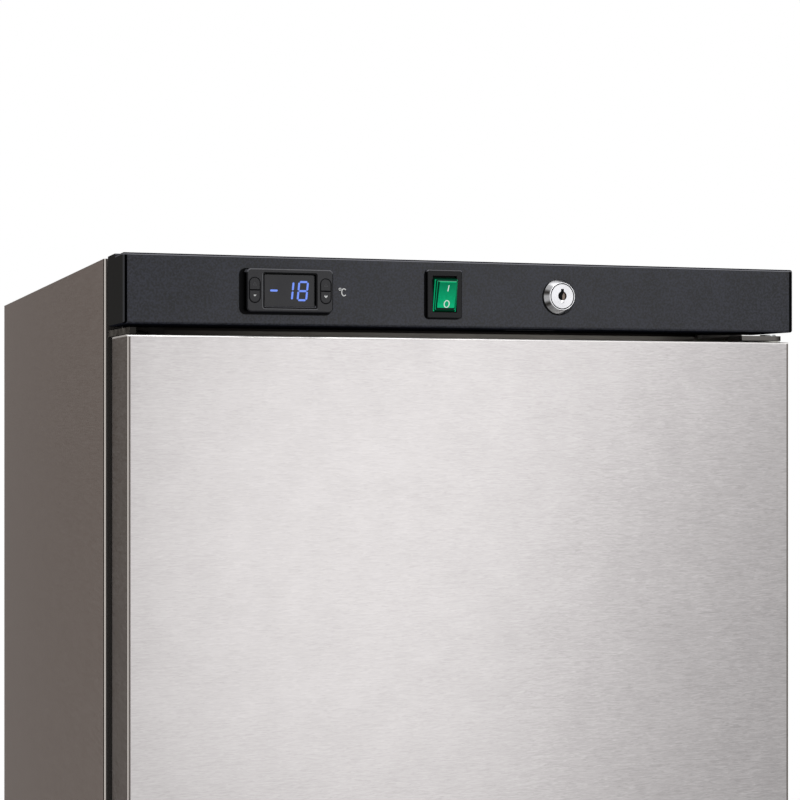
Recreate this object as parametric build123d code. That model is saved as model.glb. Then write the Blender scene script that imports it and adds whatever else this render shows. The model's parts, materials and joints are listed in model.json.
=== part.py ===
from build123d import *
import os
from math import cos, radians, sin, sqrt, tan

# Single-door upright storage freezer in stainless steel. Millimetres, +Z up, front towards -Y.
# The origin lies on the floor under the middle of the whole appliance.

# Overall size
overall_width = 600.0
overall_height = 1850.0
overall_depth = 700.0

# Gaps shared by all pieces: a pin or screw in its hole, and anything that only lies close
seat_clearance = 0.05
near_clearance = 0.3

# Straight end that every tube keeps beyond a bend, for its brazed joint, and half of the
# straight piece between the two bends of a serpentine's turn
joint_run = 2.0
turn_run = 1.0

# Cabinet shell
shell_sheet = 1.0
side_bend_radius = 3.0
side_return = 16.0
top_flange_drop = 24.0
cabinet_bottom = 40.0
base_sheet = 1.5
base_flange = 25.0
frame_sheet = 2.0
condenser_recess = 38.0

# Insulated cavity
side_insulation = 55.0
ceiling_insulation = 100.0
floor_insulation = 110.0
rear_insulation = 60.0
hump_insulation = 55.0
liner_wall = 2.0
liner_corner_radius = 18.0
ledge_width = 12.0
ledge_height = 8.0

# Compressor compartment, low at the back
machine_height = 300.0
machine_depth = 300.0

# Door
door_side_margin = 4.0
door_depth = 57.0
door_gap = 13.6
door_bottom = 112.0
door_sheet = 1.0
door_edge_radius = 2.0
door_lip = 10.0
door_liner_wall = 2.0
door_plug_margin = 9.0
door_plug_height = 26.0
door_plug_slope = 8.0
gasket_margin = 16.0
gasket_width = 24.0
gasket_waist = 5.0
gasket_foot_share = 0.25
gasket_face_share = 0.3

# Control panel across the top
panel_height = 54.9
panel_depth = 55.0
panel_wall = 2.5
panel_edge_radius = 2.0
panel_bead_height = 1.4
panel_bead_radius = 1.1
panel_bead_start = 27.0
panel_to_door = 8.5
panel_rib_count = 10
panel_rib_margin = 30.0
panel_rib_thickness = 1.6
panel_rib_height = 8.0
carrier_wall = 2.0
carrier_overlap = 14.0
carrier_side_clearance = 0.5
carrier_top_step = 6.0

# Where the controls sit: across from the middle, and down from the panel's front top edge
controls_drop = 27.7
controller_x = -165.7
switch_x = -32.1
lock_x = 73.0

# Temperature controller
controller_width = 71.6
controller_height = 33.9
controller_proud = 6.2
controller_corner = 3.6
controller_draft = 0.5
controller_edge = 0.8
controller_body_width = 66.0
controller_body_height = 28.6
controller_body_depth = 52.0
window_width = 43.8
window_height = 27.0
window_corner = 1.0
window_recess = 2.4
window_thickness = 1.5
window_lip = 1.0
button_width = 8.4
button_pair_height = 19.2
button_offset = 29.5
button_split = 0.6
button_proud = 0.3
button_edge = 0.3
button_depth = 4.8
digit_height = 16.0
digit_width = 8.8
digit_stroke = 1.9
digit_slant = 6.0
digit_gap = 0.35
digit_relief = 0.1
digit_depth = 0.4
digit_places = {"minus": -12.1, "one": -0.1, "eight": 11.9}

# Rocker switch
switch_width = 31.0
switch_height = 39.3
switch_proud = 2.8
switch_corner = 1.6
switch_edge = 0.7
switch_opening_width = 21.3
switch_opening_height = 29.8
switch_body_depth = 26.0
switch_body_wall = 1.8
switch_well_depth = 7.5
terminal_length = 8.0
terminal_width = 6.3
terminal_thickness = 0.8
rocker_half_length = 13.3
rocker_shoulder = 8.0
rocker_rise = 1.8
rocker_bevel = 3.1
rocker_back = 3.0
rocker_taper = 1.5
rocker_sink = 1.2
rocker_swing = 18.0
trunnion_radius = 1.6
trunnion_length = 1.2

# Cam lock
lock_base_radius = 14.6
lock_rim = 1.0
lock_face_radius = 11.3
lock_proud = 6.2
lock_barrel_radius = 9.3
lock_barrel_depth = 22.0
plug_face_radius = 9.6
plug_face_depth = 2.0
plug_shaft_radius = 6.0
keyway_width = 2.4
keyway_height = 9.4
keyway_depth = 8.0
keyway_dish_radius = 3.9
keyway_dish_depth = 0.8
keyway_rise = 1.6
nut_width = 24.0
nut_thickness = 4.0
nut_room = 2.4
cam_thickness = 3.0
cam_length = 43.0
cam_width = 15.0
cam_clearance = 2.5
strike_wall = 1.0
strike_depth = 14.0
strike_flange = 4.0

# Hinges on the right, and the bracket that supports the panel on the left
hinge_inset_x = 16.4
hinge_inset_y = 12.5
hinge_nose_radius = 10.5
hinge_plate = 4.0
hinge_plate_rise = 1.3
hinge_plate_width = 44.0
hinge_flange_height = 36.0
hinge_pin_radius = 4.0
hinge_pin_length = 17.0
hinge_pin_head_radius = 6.5
hinge_pin_head = 1.4
hinge_pin_clearance = 0.06
bush_wall = 3.0
bush_length = 20.0
bush_floor = 1.0
bush_flange_radius = 10.0
bush_flange = 0.8
bolt_shank_radius = 3.0
bolt_head_width = 10.0
bolt_head_height = 3.2
bolt_length = 14.0
bolt_pitch = 17.0
bolt_rise = 24.0
support_plate = 5.0
support_rise = 0.8
support_root_x = 35.0
support_tip_x = 5.5
support_tip_width = 5.1
support_tip_y = 3.0
support_shoulder_y = 30.0

# Recessed handle in the door's left edge
handle_height = 190.0
handle_width = 44.0
handle_depth = 28.0
handle_centre_z = 1010.0
handle_edge_margin = 15.0
handle_rim = 4.0
handle_rim_thickness = 1.2
handle_wall = 2.0
handle_undercut = 9.0
handle_lip = 7.0

# Evaporator shelves
shelf_count = 5
shelf_first_rise = 60.0
shelf_head_room = 275.0
shelf_front_setback = 40.0
shelf_back_room = 53.2
shelf_side_clearance = 2.0
shelf_wire = 3.0
shelf_wire_count = 27
shelf_rod = 5.0
coil_radius = 4.0
coil_passes = 6
coil_side_margin = 55.0
coil_riser_bend = 18.0
coil_front_margin = 24.0
coil_back_margin = 24.0
coil_riser_gap = 22.0
coil_return_shift = 40.0
coil_seat_gap = 0.1
coil_tail = 24.0
tube_hole_clearance = 1.0

# Condenser on the back
condenser_radius = 3.0
condenser_side_margin = 70.0
condenser_passes = 13
condenser_top_margin = 110.0
condenser_bottom_rise = 320.0
condenser_inner_step = 34.0
condenser_corner_bend = 16.0
condenser_tail = 40.0
condenser_wire = 2.0
condenser_wire_count = 27
condenser_wire_margin = 4.0
condenser_wire_overhang = 22.0
clip_wire_clearance = 1.0
clip_height = 26.0
clip_reach = 24.0
clip_column = 7.5
clip_rows = (1, 6, 11)

# Compressor and pipework
compressor_length = 210.0
compressor_width = 150.0
compressor_height = 165.0
compressor_corner = 60.0
compressor_crown = 34.0
compressor_base_radius = 18.0
compressor_wall = 7.0
compressor_seam = 4.0
compressor_seam_height = 5.0
compressor_seam_rise = 90.0
compressor_side_room = 240.0
compressor_setback = 140.0
foot_plate_length = 236.0
foot_plate_width = 176.0
foot_plate_thickness = 3.0
foot_plate_corner = 14.0
grommet_radius = 14.0
grommet_height = 20.0
grommet_neck_radius = 9.0
grommet_cap_radius = 12.0
grommet_cap_height = 6.0
grommet_inset = 18.0
mount_bolt_radius = 4.0
mount_bolt_head_width = 16.0
mount_bolt_head_height = 5.0
terminal_box_width = 62.0
terminal_box_height = 60.0
terminal_box_depth = 30.0
terminal_box_rise = 24.0
terminal_box_corner = 5.0
suction_radius = 4.0
suction_rise = 72.0
discharge_radius = 3.0
discharge_rise = 38.0
discharge_offset = 8.8
pipe_bend = 20.0
drier_radius = 10.0
drier_length = 110.0
drier_neck = 10.0
capillary_radius = 1.5
capillary_drop = 50.0
gland_inset = 110.0
gland_radius = 8.0
gland_flange_radius = 11.0
gland_flange = 2.0
gland_bore_radius = 3.5
gland_length = 14.0

# Kick plate, feet and rollers
kick_setback = 14.0
kick_sheet = 1.2
kick_top_gap = 8.0
kick_bottom = 22.0
kick_side_margin = 10.0
louvre_rows = 4
louvre_columns = 2
louvre_end_margin = 65.0
louvre_web = 30.0
louvre_height = 6.0
louvre_pitch = 14.0
foot_inset = 50.0
foot_setback = 45.0
foot_stem_radius = 5.0
foot_stem_clearance = 0.06
foot_stem_top = 64.0
foot_boss_wall = 4.0
foot_boss_height = 32.0
foot_boss_bore = 28.0
foot_pad_radius = 20.0
foot_pad_height = 9.0
foot_pad_bevel = 3.0
foot_hex_width = 17.0
foot_hex_height = 10.0
roller_inset = 60.0
roller_setback = 70.0
roller_radius = 18.5
roller_width = 22.0
roller_edge = 2.0
roller_axle_radius = 4.0
roller_axle_clearance = 0.08
roller_side_clearance = 0.6
roller_bracket_sheet = 2.5
roller_bracket_length = 34.0
roller_bracket_drop = 30.0

# Places worked out from the sizes above
half_width = overall_width / 2
inner_half_width = half_width - shell_sheet
front_y = -overall_depth / 2 + lock_proud
rear_y = overall_depth / 2
door_back_y = front_y + door_depth
cabinet_front_y = door_back_y + door_gap
frame_front_y = cabinet_front_y + shell_sheet
foam_front_y = frame_front_y + frame_sheet
rear_sheet_y = rear_y - condenser_recess
foam_back_y = rear_sheet_y - shell_sheet
base_back_y = rear_y - side_bend_radius
panel_top = overall_height - panel_bead_height
panel_bottom = panel_top - panel_height
door_top = panel_bottom - panel_to_door
controls_z = panel_top - controls_drop
base_top = cabinet_bottom + base_sheet
roof_z = overall_height - shell_sheet
cavity_half_width = half_width - side_insulation
cavity_bottom = cabinet_bottom + floor_insulation
cavity_top = overall_height - ceiling_insulation
cavity_back_y = rear_sheet_y - rear_insulation
machine_top = cabinet_bottom + machine_height
machine_front_y = rear_y - machine_depth
hump_top = machine_top + hump_insulation
hump_front_y = machine_front_y - hump_insulation
door_half_width = half_width - door_side_margin
door_liner_y = door_back_y - door_sheet
gasket_half_width = door_half_width - gasket_margin
hinge_x = half_width - hinge_inset_x
hinge_y = front_y + hinge_inset_y
bracket_inner_x = hinge_x + hinge_nose_radius - hinge_plate_width
bracket_face_y = frame_front_y - hinge_plate
top_plate_z = door_top + hinge_plate_rise
bottom_plate_z = door_bottom - hinge_plate_rise - hinge_plate
support_z = door_top + support_rise
bush_radius = hinge_pin_radius + hinge_pin_clearance + bush_wall
panel_rib_pitch = (overall_width - 2 * panel_rib_margin) / (panel_rib_count - 1)
shelf_front_y = cabinet_front_y + shelf_front_setback
shelf_depth = cavity_back_y - shelf_back_room - shelf_front_y
shelf_half_width = cavity_half_width - shelf_side_clearance
shelf_wire_pitch = (shelf_depth - shelf_wire) / (shelf_wire_count - 1)
shelf_lowest = hump_top + shelf_first_rise
shelf_pitch = (cavity_top - shelf_head_room - shelf_lowest) / (shelf_count - 1)
coil_reach = cavity_half_width - coil_side_margin
coil_pitch = 2 * coil_reach / (coil_passes - 1)
coil_back_y = shelf_front_y + shelf_depth + coil_riser_gap
coil_joint_y = coil_back_y - coil_riser_bend - joint_run
coil_return_x = coil_reach + coil_return_shift
face_y = front_y - controller_proud
window_y = face_y + window_recess
rocker_tilt = rocker_swing / 2
rocker_tip_drop = rocker_half_length * sin(radians(rocker_tilt))
rocker_sunk_reach = rocker_shoulder * cos(radians(rocker_tilt)) - rocker_tip_drop
rocker_pivot_y = front_y - switch_proud + rocker_sink + rocker_sunk_reach
rocker_half_width = switch_opening_width / 2 - near_clearance
cam_back_y = front_y + lock_barrel_depth + cam_thickness
cam_middle_y = cam_back_y - cam_thickness / 2
compressor_x = half_width - compressor_side_room
compressor_y = rear_y - compressor_setback
foot_plate_z = base_top + grommet_height
compressor_z = foot_plate_z + foot_plate_thickness
condenser_y = (rear_sheet_y + rear_y) / 2
condenser_half_width = half_width - condenser_side_margin
condenser_top = overall_height - condenser_top_margin
condenser_bottom = machine_top + condenser_bottom_rise
condenser_pitch = (condenser_top - condenser_bottom) / (condenser_passes - 1)
condenser_wire_pitch = 2 * (condenser_half_width + condenser_wire_margin) / (condenser_wire_count - 1)
condenser_tail_z = machine_top - condenser_tail
clip_width = condenser_wire_pitch - condenser_wire - 2 * clip_wire_clearance
drier_end_z = condenser_tail_z - drier_length - 2 * drier_neck
capillary_low_z = drier_end_z - capillary_drop
gland_x = gland_inset - half_width
foot_x = half_width - foot_inset
roller_x = half_width - roller_inset
kick_half_width = half_width - kick_side_margin
louvre_length = kick_half_width - louvre_end_margin - louvre_web / 2
louvre_spacing = louvre_length + louvre_web


def block(x0, x1, y0, y1, z0, z1):
    """A box given by its two faces along each axis."""
    return Pos((x0 + x1) / 2, (y0 + y1) / 2, (z0 + z1) / 2) * Box(x1 - x0, y1 - y0, z1 - z0)


def facing(x, y, z):
    """A plane that faces the front, with its X to the right and its Y up."""
    return Plane(origin=(x, y, z), x_dir=(1, 0, 0), z_dir=(0, -1, 0))


def rod_x(radius, y, z, x0, x1):
    """A round rod lying across, from x0 to x1."""
    return extrude(Plane(origin=(x0, y, z), x_dir=(0, 1, 0), z_dir=(1, 0, 0)) * Circle(radius), x1 - x0)


def rod_y(radius, x, z, y0, y1):
    """A round rod lying from the front y0 back to y1."""
    return extrude(facing(x, y1, z) * Circle(radius), y1 - y0)


def rod_z(radius, x, y, z0, z1):
    """A round upright rod between two heights, given in either order."""
    low = min(z0, z1)
    return extrude(Pos(x, y, low) * Circle(radius), max(z0, z1) - low)


def hexagon_y(width, x, z, y0, y1):
    """A hexagonal head or nut, with its width measured across the flats."""
    return extrude(facing(x, y1, z) * RegularPolygon(width / 2, 6, major_radius=False), y1 - y0)


def tube(points, bends, radius):
    """A tube along straight runs, with one bend radius for each inner point."""
    path = FilletPolyline(*points, radius=bends)
    section = Plane(origin=points[0], z_dir=Vector(*points[1]) - Vector(*points[0])) * Circle(radius)
    return sweep(section, path=path)


def mirrored(solid):
    """The same piece for the other side."""
    return mirror(solid, about=Plane.YZ)


def group(solids):
    """Separate identical pieces that share one name."""
    return Compound(children=[piece for solid in solids for piece in solid.solids()])


# Cabinet shell

def side_panel():
    """Left side: one sheet, folded inwards at the front and at the back."""
    depth = rear_y - cabinet_front_y
    corner = (Align.MIN, Align.MIN)
    outer = Rectangle(side_return, depth, align=corner)
    outer = fillet(outer.vertices().group_by(Axis.X)[0], side_bend_radius)
    inner = Pos(shell_sheet, shell_sheet) * Rectangle(side_return, depth - 2 * shell_sheet, align=corner)
    inner = fillet(inner.vertices().group_by(Axis.X)[0], side_bend_radius - shell_sheet)
    section = Pos(-half_width, cabinet_front_y, cabinet_bottom) * (outer - inner)
    return extrude(section, overall_height - cabinet_bottom)


def top_panel():
    """Roof sheet between the sides, folded down at the front and at the back."""
    back_y = rear_y - shell_sheet
    roof = block(-inner_half_width, inner_half_width, frame_front_y, back_y, roof_z, overall_height)
    roof = chamfer(roof.edges().filter_by(Axis.Z), side_bend_radius)
    flange_x = half_width - side_return
    flange_z = overall_height - top_flange_drop
    for y0 in (cabinet_front_y, back_y):
        roof += block(-flange_x, flange_x, y0, y0 + shell_sheet, flange_z, overall_height)
    return roof


def rear_panel():
    """Back sheet of the insulated box, set in so that the condenser lies flush."""
    return block(-inner_half_width, inner_half_width, foam_back_y, rear_sheet_y, machine_top, roof_z)


def machine_deck():
    """Stepped sheet that roofs the compressor compartment and closes it towards the front."""
    wall_y = machine_front_y - shell_sheet
    top = machine_top + shell_sheet
    deck = block(-inner_half_width, inner_half_width, wall_y, foam_back_y, machine_top, top)
    deck += block(-inner_half_width, inner_half_width, wall_y, machine_front_y, base_top, top)
    return deck - base_frame() - riser_holes()


def foot_bosses(grow):
    """Threaded bosses that take the levelling feet, as plain cylinders."""
    y = cabinet_front_y + foot_setback
    top = cabinet_bottom + foot_boss_height + grow
    radius = foot_stem_radius + foot_boss_wall + grow
    return [rod_z(radius, x, y, cabinet_bottom, top) for x in (-foot_x, foot_x)]


def base_frame():
    """Folded steel tray under the whole cabinet, with a flange all round and two foot bosses."""
    flange_top = cabinet_bottom + base_flange
    tray = block(-inner_half_width, inner_half_width, foam_front_y, base_back_y, cabinet_bottom, flange_top)
    tray -= block(-inner_half_width + base_sheet, inner_half_width - base_sheet, foam_front_y + base_sheet,
                  base_back_y - base_sheet, base_top, flange_top + 1)
    tray += foot_bosses(0)
    bore_y = cabinet_front_y + foot_setback
    for x in (-foot_x, foot_x):
        tray -= rod_z(foot_stem_radius + foot_stem_clearance, x, bore_y, cabinet_bottom - 1,
                      cabinet_bottom + foot_boss_bore)
    gland_z = cabinet_bottom + base_flange / 2
    return tray - rod_y(gland_radius + seat_clearance, gland_x, gland_z, base_back_y - 2 * base_sheet, rear_y)


def front_frame():
    """Steel frame around the opening that the gasket closes on."""
    half = half_width - side_bend_radius - shell_sheet
    plate = block(-half, half, frame_front_y, foam_front_y, cabinet_bottom, roof_z)
    return plate - cavity(liner_wall + near_clearance) - bolt_shanks(seat_clearance)


def cavity(grow):
    """Inside of the freezer with a step over the compressor, grown by a wall."""
    width = 2 * (cavity_half_width + grow)
    height = cavity_top - cavity_bottom + 2 * grow
    back = facing(0, cavity_back_y + grow, (cavity_top + cavity_bottom) / 2)
    room = extrude(back * RectangleRounded(width, height, liner_corner_radius + grow),
                   cavity_back_y + grow - frame_front_y)
    step_y = hump_front_y + grow
    return room - block(-half_width, half_width, step_y, rear_y, 0, hump_top - grow)


def riser_holes():
    """Clearance holes for the two refrigerant tubes that go down through the step."""
    radius = coil_radius + tube_hole_clearance
    return [rod_z(radius, x, coil_back_y, machine_top - 1, hump_top + 1)
            for x in (-coil_reach, coil_return_x)]


def shelf_level(index):
    """Underside of one shelf's wire deck."""
    return shelf_lowest + index * shelf_pitch


def ledges():
    """Moulded ledges on both side walls, one pair under each shelf."""
    corners = [(0, 0), (ledge_width, 0), (ledge_width, -ledge_height / 2), (0, -ledge_height)]
    section = make_face(Polyline(*corners, close=True))
    made = []
    for index in range(shelf_count):
        place = facing(-cavity_half_width, shelf_front_y + shelf_depth, shelf_level(index))
        left = extrude(place * section, shelf_depth)
        made += [left, mirrored(left)]
    return made


def inner_liner():
    """Thermoformed liner, open at the front."""
    return cavity(liner_wall) - cavity(0) + ledges() - riser_holes()


def insulation():
    """Foam that fills the space between the shell and the liner."""
    step_y = machine_front_y - shell_sheet
    foam = block(-inner_half_width, inner_half_width, foam_front_y, foam_back_y, base_top, roof_z)
    foam -= block(-half_width, half_width, step_y, rear_y, 0, machine_top + shell_sheet)
    foam -= cavity(liner_wall + near_clearance)
    foam -= base_frame()
    foam -= foot_bosses(near_clearance)
    return foam - riser_holes() - bolt_shanks(near_clearance)


def kick_plate():
    """Louvred plinth plate, folded back to the cabinet at both ends."""
    half = kick_half_width
    y0 = front_y + kick_setback
    top = door_bottom - kick_top_gap
    plate = block(-half, half, y0, cabinet_front_y, kick_bottom, top)
    plate -= block(-half + kick_sheet, half - kick_sheet, y0 + kick_sheet, cabinet_front_y + 1,
                   kick_bottom - 1, top + 1)
    places = GridLocations(louvre_spacing, louvre_pitch, louvre_columns, louvre_rows)
    slots = Sketch() + places * SlotOverall(louvre_length, louvre_height)
    through = extrude(facing(0, y0 + 2 * kick_sheet, (top + kick_bottom) / 2) * slots, 3 * kick_sheet)
    return plate - through


# Door

def door_block(shrink, y0, y1):
    """The door's outline, drawn in by a margin, between two depths."""
    half = door_half_width - shrink
    return block(-half, half, y0, y1, door_bottom + shrink, door_top - shrink)


def door_plug(shrink):
    """Raised field on the door's inside that fits into the opening, with sloping sides."""
    half = cavity_half_width - door_plug_margin - shrink
    rise = (cavity_top - cavity_bottom) / 2 - door_plug_margin - shrink
    centre_z = (cavity_top + cavity_bottom) / 2
    height = door_plug_height - shrink
    slope = height * tan(radians(door_plug_slope))
    base_y = door_liner_y - door_liner_wall
    base = facing(0, base_y, centre_z) * RectangleRounded(2 * half, 2 * rise, liner_corner_radius)
    crown = facing(0, base_y + door_liner_wall + height, centre_z) * RectangleRounded(
        2 * (half - slope), 2 * (rise - slope), liner_corner_radius - slope)
    return loft([base.face(), crown.face()])


def handle_shape(grow, front):
    """The handle recess, wider behind the front face where the fingers hook in."""
    x0 = -door_half_width + handle_edge_margin
    x1 = x0 + handle_width
    hook = x0 - handle_undercut
    back = handle_depth + grow
    bevel = handle_depth / 2
    lip = handle_lip - grow
    outline = Polyline(
        (x0 - grow, front), (x0 - grow, lip), (hook - grow, lip), (hook - grow, back),
        (x1 - bevel, back), (x1 + grow, bevel), (x1 + grow, front), close=True)
    half = handle_height / 2 + grow
    return extrude(Pos(0, front_y, handle_centre_z - half) * make_face(outline), 2 * half)


def handle_cup():
    """Moulded finger recess with a rim on the door's front face."""
    rim = facing(-door_half_width + handle_edge_margin + handle_width / 2, front_y, handle_centre_z)
    rim *= RectangleRounded(handle_width + 2 * handle_rim, handle_height + 2 * handle_rim, handle_rim)
    cup = handle_shape(handle_wall, 0) + extrude(rim, handle_rim_thickness)
    return cup - handle_shape(0, -2 * handle_rim_thickness)


def bush_mouths():
    """Each hinge bush: its mouth's height and the way it points into the door."""
    return [(door_top, -1), (door_bottom, 1)]


def bush_pockets(clearance):
    """Round pockets in the door's ends for the bushes."""
    return [rod_z(bush_radius + clearance, hinge_x, hinge_y, z - way, z + way * (bush_length + clearance))
            for z, way in bush_mouths()]


def strike_pocket(grow, top):
    """Slot in the door's top edge that the lock's cam drops into."""
    x0 = lock_x - cam_reach(controls_z - door_top) - cam_clearance - grow
    x1 = lock_x + cam_width / 2 + cam_clearance + grow
    half = cam_thickness / 2 + cam_clearance + grow
    return block(x0, x1, cam_middle_y - half, cam_middle_y + half, door_top - strike_depth - grow, top)


def door_skin():
    """Stainless door pan: front, four sides and a lip that turns in at the back."""
    pan = door_block(0, front_y, door_back_y)
    pan = fillet(pan.edges().group_by(Axis.Y)[0], door_edge_radius)
    pan -= door_block(door_sheet, front_y + door_sheet, door_liner_y)
    pan -= door_block(door_sheet + door_lip, front_y + door_sheet, door_back_y + 1)
    pan -= bush_pockets(seat_clearance)
    return pan - handle_shape(handle_wall, -1) - strike_pocket(strike_wall, door_top + 1)


def door_liner():
    """Formed inner sheet of the door, with the raised field."""
    sheet = door_block(door_sheet, door_liner_y - door_liner_wall, door_liner_y)
    return sheet + door_plug(0) - door_plug(door_liner_wall)


def door_foam():
    """Foam core of the door."""
    core = door_block(door_sheet, front_y + door_sheet, door_liner_y - door_liner_wall)
    core += door_plug(door_liner_wall + near_clearance)
    core -= bush_pockets(near_clearance)
    core -= handle_shape(handle_wall, -1)
    return core - lock_strike() - strike_pocket(0, door_top)


def gasket_ring(shrink, y0, y1):
    """One step of the gasket, narrowed from both sides."""
    half = gasket_half_width - shrink
    z0 = door_bottom + gasket_margin + shrink
    z1 = door_top - gasket_margin - shrink
    width = gasket_width - 2 * shrink
    hole = block(-half + width, half - width, y0 - 1, y1 + 1, z0 + width, z1 - width)
    return block(-half, half, y0, y1, z0, z1) - hole


def door_gasket():
    """Magnetic gasket: a foot on the liner, a narrow bellows and the magnet's face."""
    y1 = frame_front_y - near_clearance
    depth = y1 - door_liner_y
    bellows_y = door_liner_y + depth * gasket_foot_share
    face_start_y = y1 - depth * gasket_face_share
    gasket = gasket_ring(0, door_liner_y, bellows_y)
    gasket += gasket_ring(gasket_waist, bellows_y, face_start_y)
    return gasket + gasket_ring(gasket_waist / 2, face_start_y, y1)


def hinge_bushes():
    """Flanged plastic bushes in the door's top and bottom."""
    bushes = []
    for z, way in bush_mouths():
        bush = rod_z(bush_radius, hinge_x, hinge_y, z - way * bush_flange, z + way * bush_length)
        bush += rod_z(bush_flange_radius, hinge_x, hinge_y, z - way * bush_flange, z)
        bore = rod_z(hinge_pin_radius + hinge_pin_clearance, hinge_x, hinge_y, z - way * 2 * bush_flange,
                     z + way * (bush_length - bush_floor))
        bushes.append(bush - bore)
    return group(bushes)


def lock_strike():
    """Steel cup in the door's top edge, with a flange that lies under the skin."""
    cup = strike_pocket(strike_wall, door_top)
    inside = block(-half_width, half_width, front_y, rear_y, door_top - door_sheet - strike_wall,
                   door_top - door_sheet)
    flange = strike_pocket(strike_wall + strike_flange, door_top) & inside
    return cup + flange - strike_pocket(0, door_top + 1)


# Hinges and brackets

def hinge_arm(z):
    """Flat hinge plate with a round nose about the pin."""
    top = z + hinge_plate
    nose_x = hinge_x + hinge_nose_radius
    arm = block(bracket_inner_x, nose_x, hinge_y, cabinet_front_y, z, top)
    arm += block(bracket_inner_x, hinge_x, hinge_y - hinge_nose_radius, hinge_y, z, top)
    arm += rod_z(hinge_nose_radius, hinge_x, hinge_y, z, top)
    return arm - rod_z(hinge_pin_radius + seat_clearance, hinge_x, hinge_y, z - 1, top + 1)


def bracket_flange(z0, z1):
    """Upright flange of a right-hand bracket, flat against the cabinet's front frame."""
    outer_x = half_width - side_return - near_clearance
    return block(bracket_inner_x, outer_x, bracket_face_y, frame_front_y, z0, z1)


def hinge_bracket_top():
    """Top bracket: arm over the door, flange up behind the control panel."""
    flange = bracket_flange(top_plate_z, top_plate_z + hinge_flange_height)
    return hinge_arm(top_plate_z) + flange - bolt_shanks(seat_clearance)


def hinge_bracket_bottom():
    """Bottom bracket: arm under the door, flange down behind the kick plate."""
    top = bottom_plate_z + hinge_plate
    flange = bracket_flange(top - hinge_flange_height, top)
    return hinge_arm(bottom_plate_z) + flange - bolt_shanks(seat_clearance)


def support_bracket():
    """Left-hand bracket under the control panel: a plate that narrows to the front."""
    tip_x = -half_width + shell_sheet + support_tip_x
    root_x = -half_width + side_bend_radius
    outline = Polyline(
        (root_x, cabinet_front_y), (tip_x, front_y + support_tip_y),
        (tip_x + support_tip_width, front_y + support_tip_y),
        (tip_x + support_tip_width, front_y + support_shoulder_y),
        (root_x + support_root_x, cabinet_front_y), close=True)
    plate = extrude(Pos(0, 0, support_z) * make_face(outline), support_plate)
    flange = mirrored(bracket_flange(support_z, support_z + hinge_flange_height))
    return plate + flange - bolt_shanks(seat_clearance)


def bolt_places():
    """Each bracket bolt's axis: across and height."""
    middle = (bracket_inner_x + half_width - side_return) / 2
    columns = [middle - bolt_pitch / 2, middle + bolt_pitch / 2]
    places = [(x, top_plate_z + bolt_rise) for x in columns]
    places += [(x, bottom_plate_z + hinge_plate - bolt_rise) for x in columns]
    return places + [(-x, support_z + bolt_rise) for x in columns]


def bolt_shanks(clearance):
    """Shanks of the bracket bolts, or with a clearance the holes that they pass through."""
    return [rod_y(bolt_shank_radius + clearance, x, z, bracket_face_y - clearance,
                  bracket_face_y + bolt_length + clearance) for x, z in bolt_places()]


def hinge_bolts():
    """Hexagon bolts that hold the three brackets to the cabinet."""
    heads = [hexagon_y(bolt_head_width, x, z, bracket_face_y - bolt_head_height, bracket_face_y)
             for x, z in bolt_places()]
    return group([head + shank for head, shank in zip(heads, bolt_shanks(0))])


def hinge_pins():
    """Steel pins riveted into the two plates, reaching into the door's bushes."""
    top = top_plate_z + hinge_plate
    upper = rod_z(hinge_pin_radius, hinge_x, hinge_y, door_top - hinge_pin_length, top)
    upper += rod_z(hinge_pin_head_radius, hinge_x, hinge_y, top, top + hinge_pin_head)
    lower = rod_z(hinge_pin_radius, hinge_x, hinge_y, bottom_plate_z, door_bottom + hinge_pin_length)
    lower += rod_z(hinge_pin_head_radius, hinge_x, hinge_y, bottom_plate_z - hinge_pin_head, bottom_plate_z)
    return group([upper, lower])


# Control panel

def cam_reach(drop):
    """How far the cam's tip reaches to the left when it passes a level below its axis."""
    return sqrt(cam_length ** 2 - drop ** 2)


def cam_slot():
    """Slot in the panel's floor that the lock's cam swings through."""
    floor_top = panel_bottom + panel_wall
    half = cam_thickness / 2 + cam_clearance
    x0 = lock_x - cam_reach(controls_z - floor_top) - cam_clearance
    x1 = lock_x + cam_width / 2 + cam_clearance
    return block(x0, x1, cam_middle_y - half, cam_middle_y + half, panel_bottom - 1, floor_top + 1)


def panel_shell():
    """The panel's hollow moulding with its bead, before the ribs and holes."""
    back = front_y + panel_depth
    shell = block(-half_width, half_width, front_y, back, panel_bottom, panel_top)
    shell = fillet(shell.edges().group_by(Axis.Y)[0] + shell.edges().filter_by(Axis.Y), panel_edge_radius)
    bead_y = front_y + panel_bead_start
    bead = block(-half_width, half_width, bead_y, back, panel_top - panel_wall, overall_height)
    bead = fillet(bead.edges().filter_by(Axis.X).group_by(Axis.Y)[0].sort_by(Axis.Z)[-1], panel_bead_radius)
    hollow = block(-half_width + panel_wall, half_width - panel_wall, front_y + panel_wall, back + 1,
                   panel_bottom + panel_wall, panel_top - panel_wall)
    return shell + bead - hollow


def panel_ribs():
    """Stiffening ribs inside the moulding's front wall."""
    back = front_y + panel_wall + panel_rib_height
    height = panel_height - 2 * panel_wall
    places = GridLocations(panel_rib_pitch, 0, panel_rib_count, 1)
    ribs = Sketch() + places * Rectangle(panel_rib_thickness, height)
    return extrude(facing(0, back, panel_bottom + panel_height / 2) * ribs, panel_rib_height)


def control_panel():
    """Black moulding across the cabinet's top, with the holes for the controls."""
    panel = panel_shell() + panel_ribs()
    back = front_y + panel_depth / 2
    panel -= controller_block(front_y - 1, back)
    panel -= switch_block(front_y - 1, back)
    panel -= rod_y(lock_barrel_radius + near_clearance, lock_x, controls_z, front_y - 1, back)
    panel -= rod_y(nut_width / 2 + nut_room, lock_x, controls_z, front_y + panel_wall, back)
    return panel - cam_slot()


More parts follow.
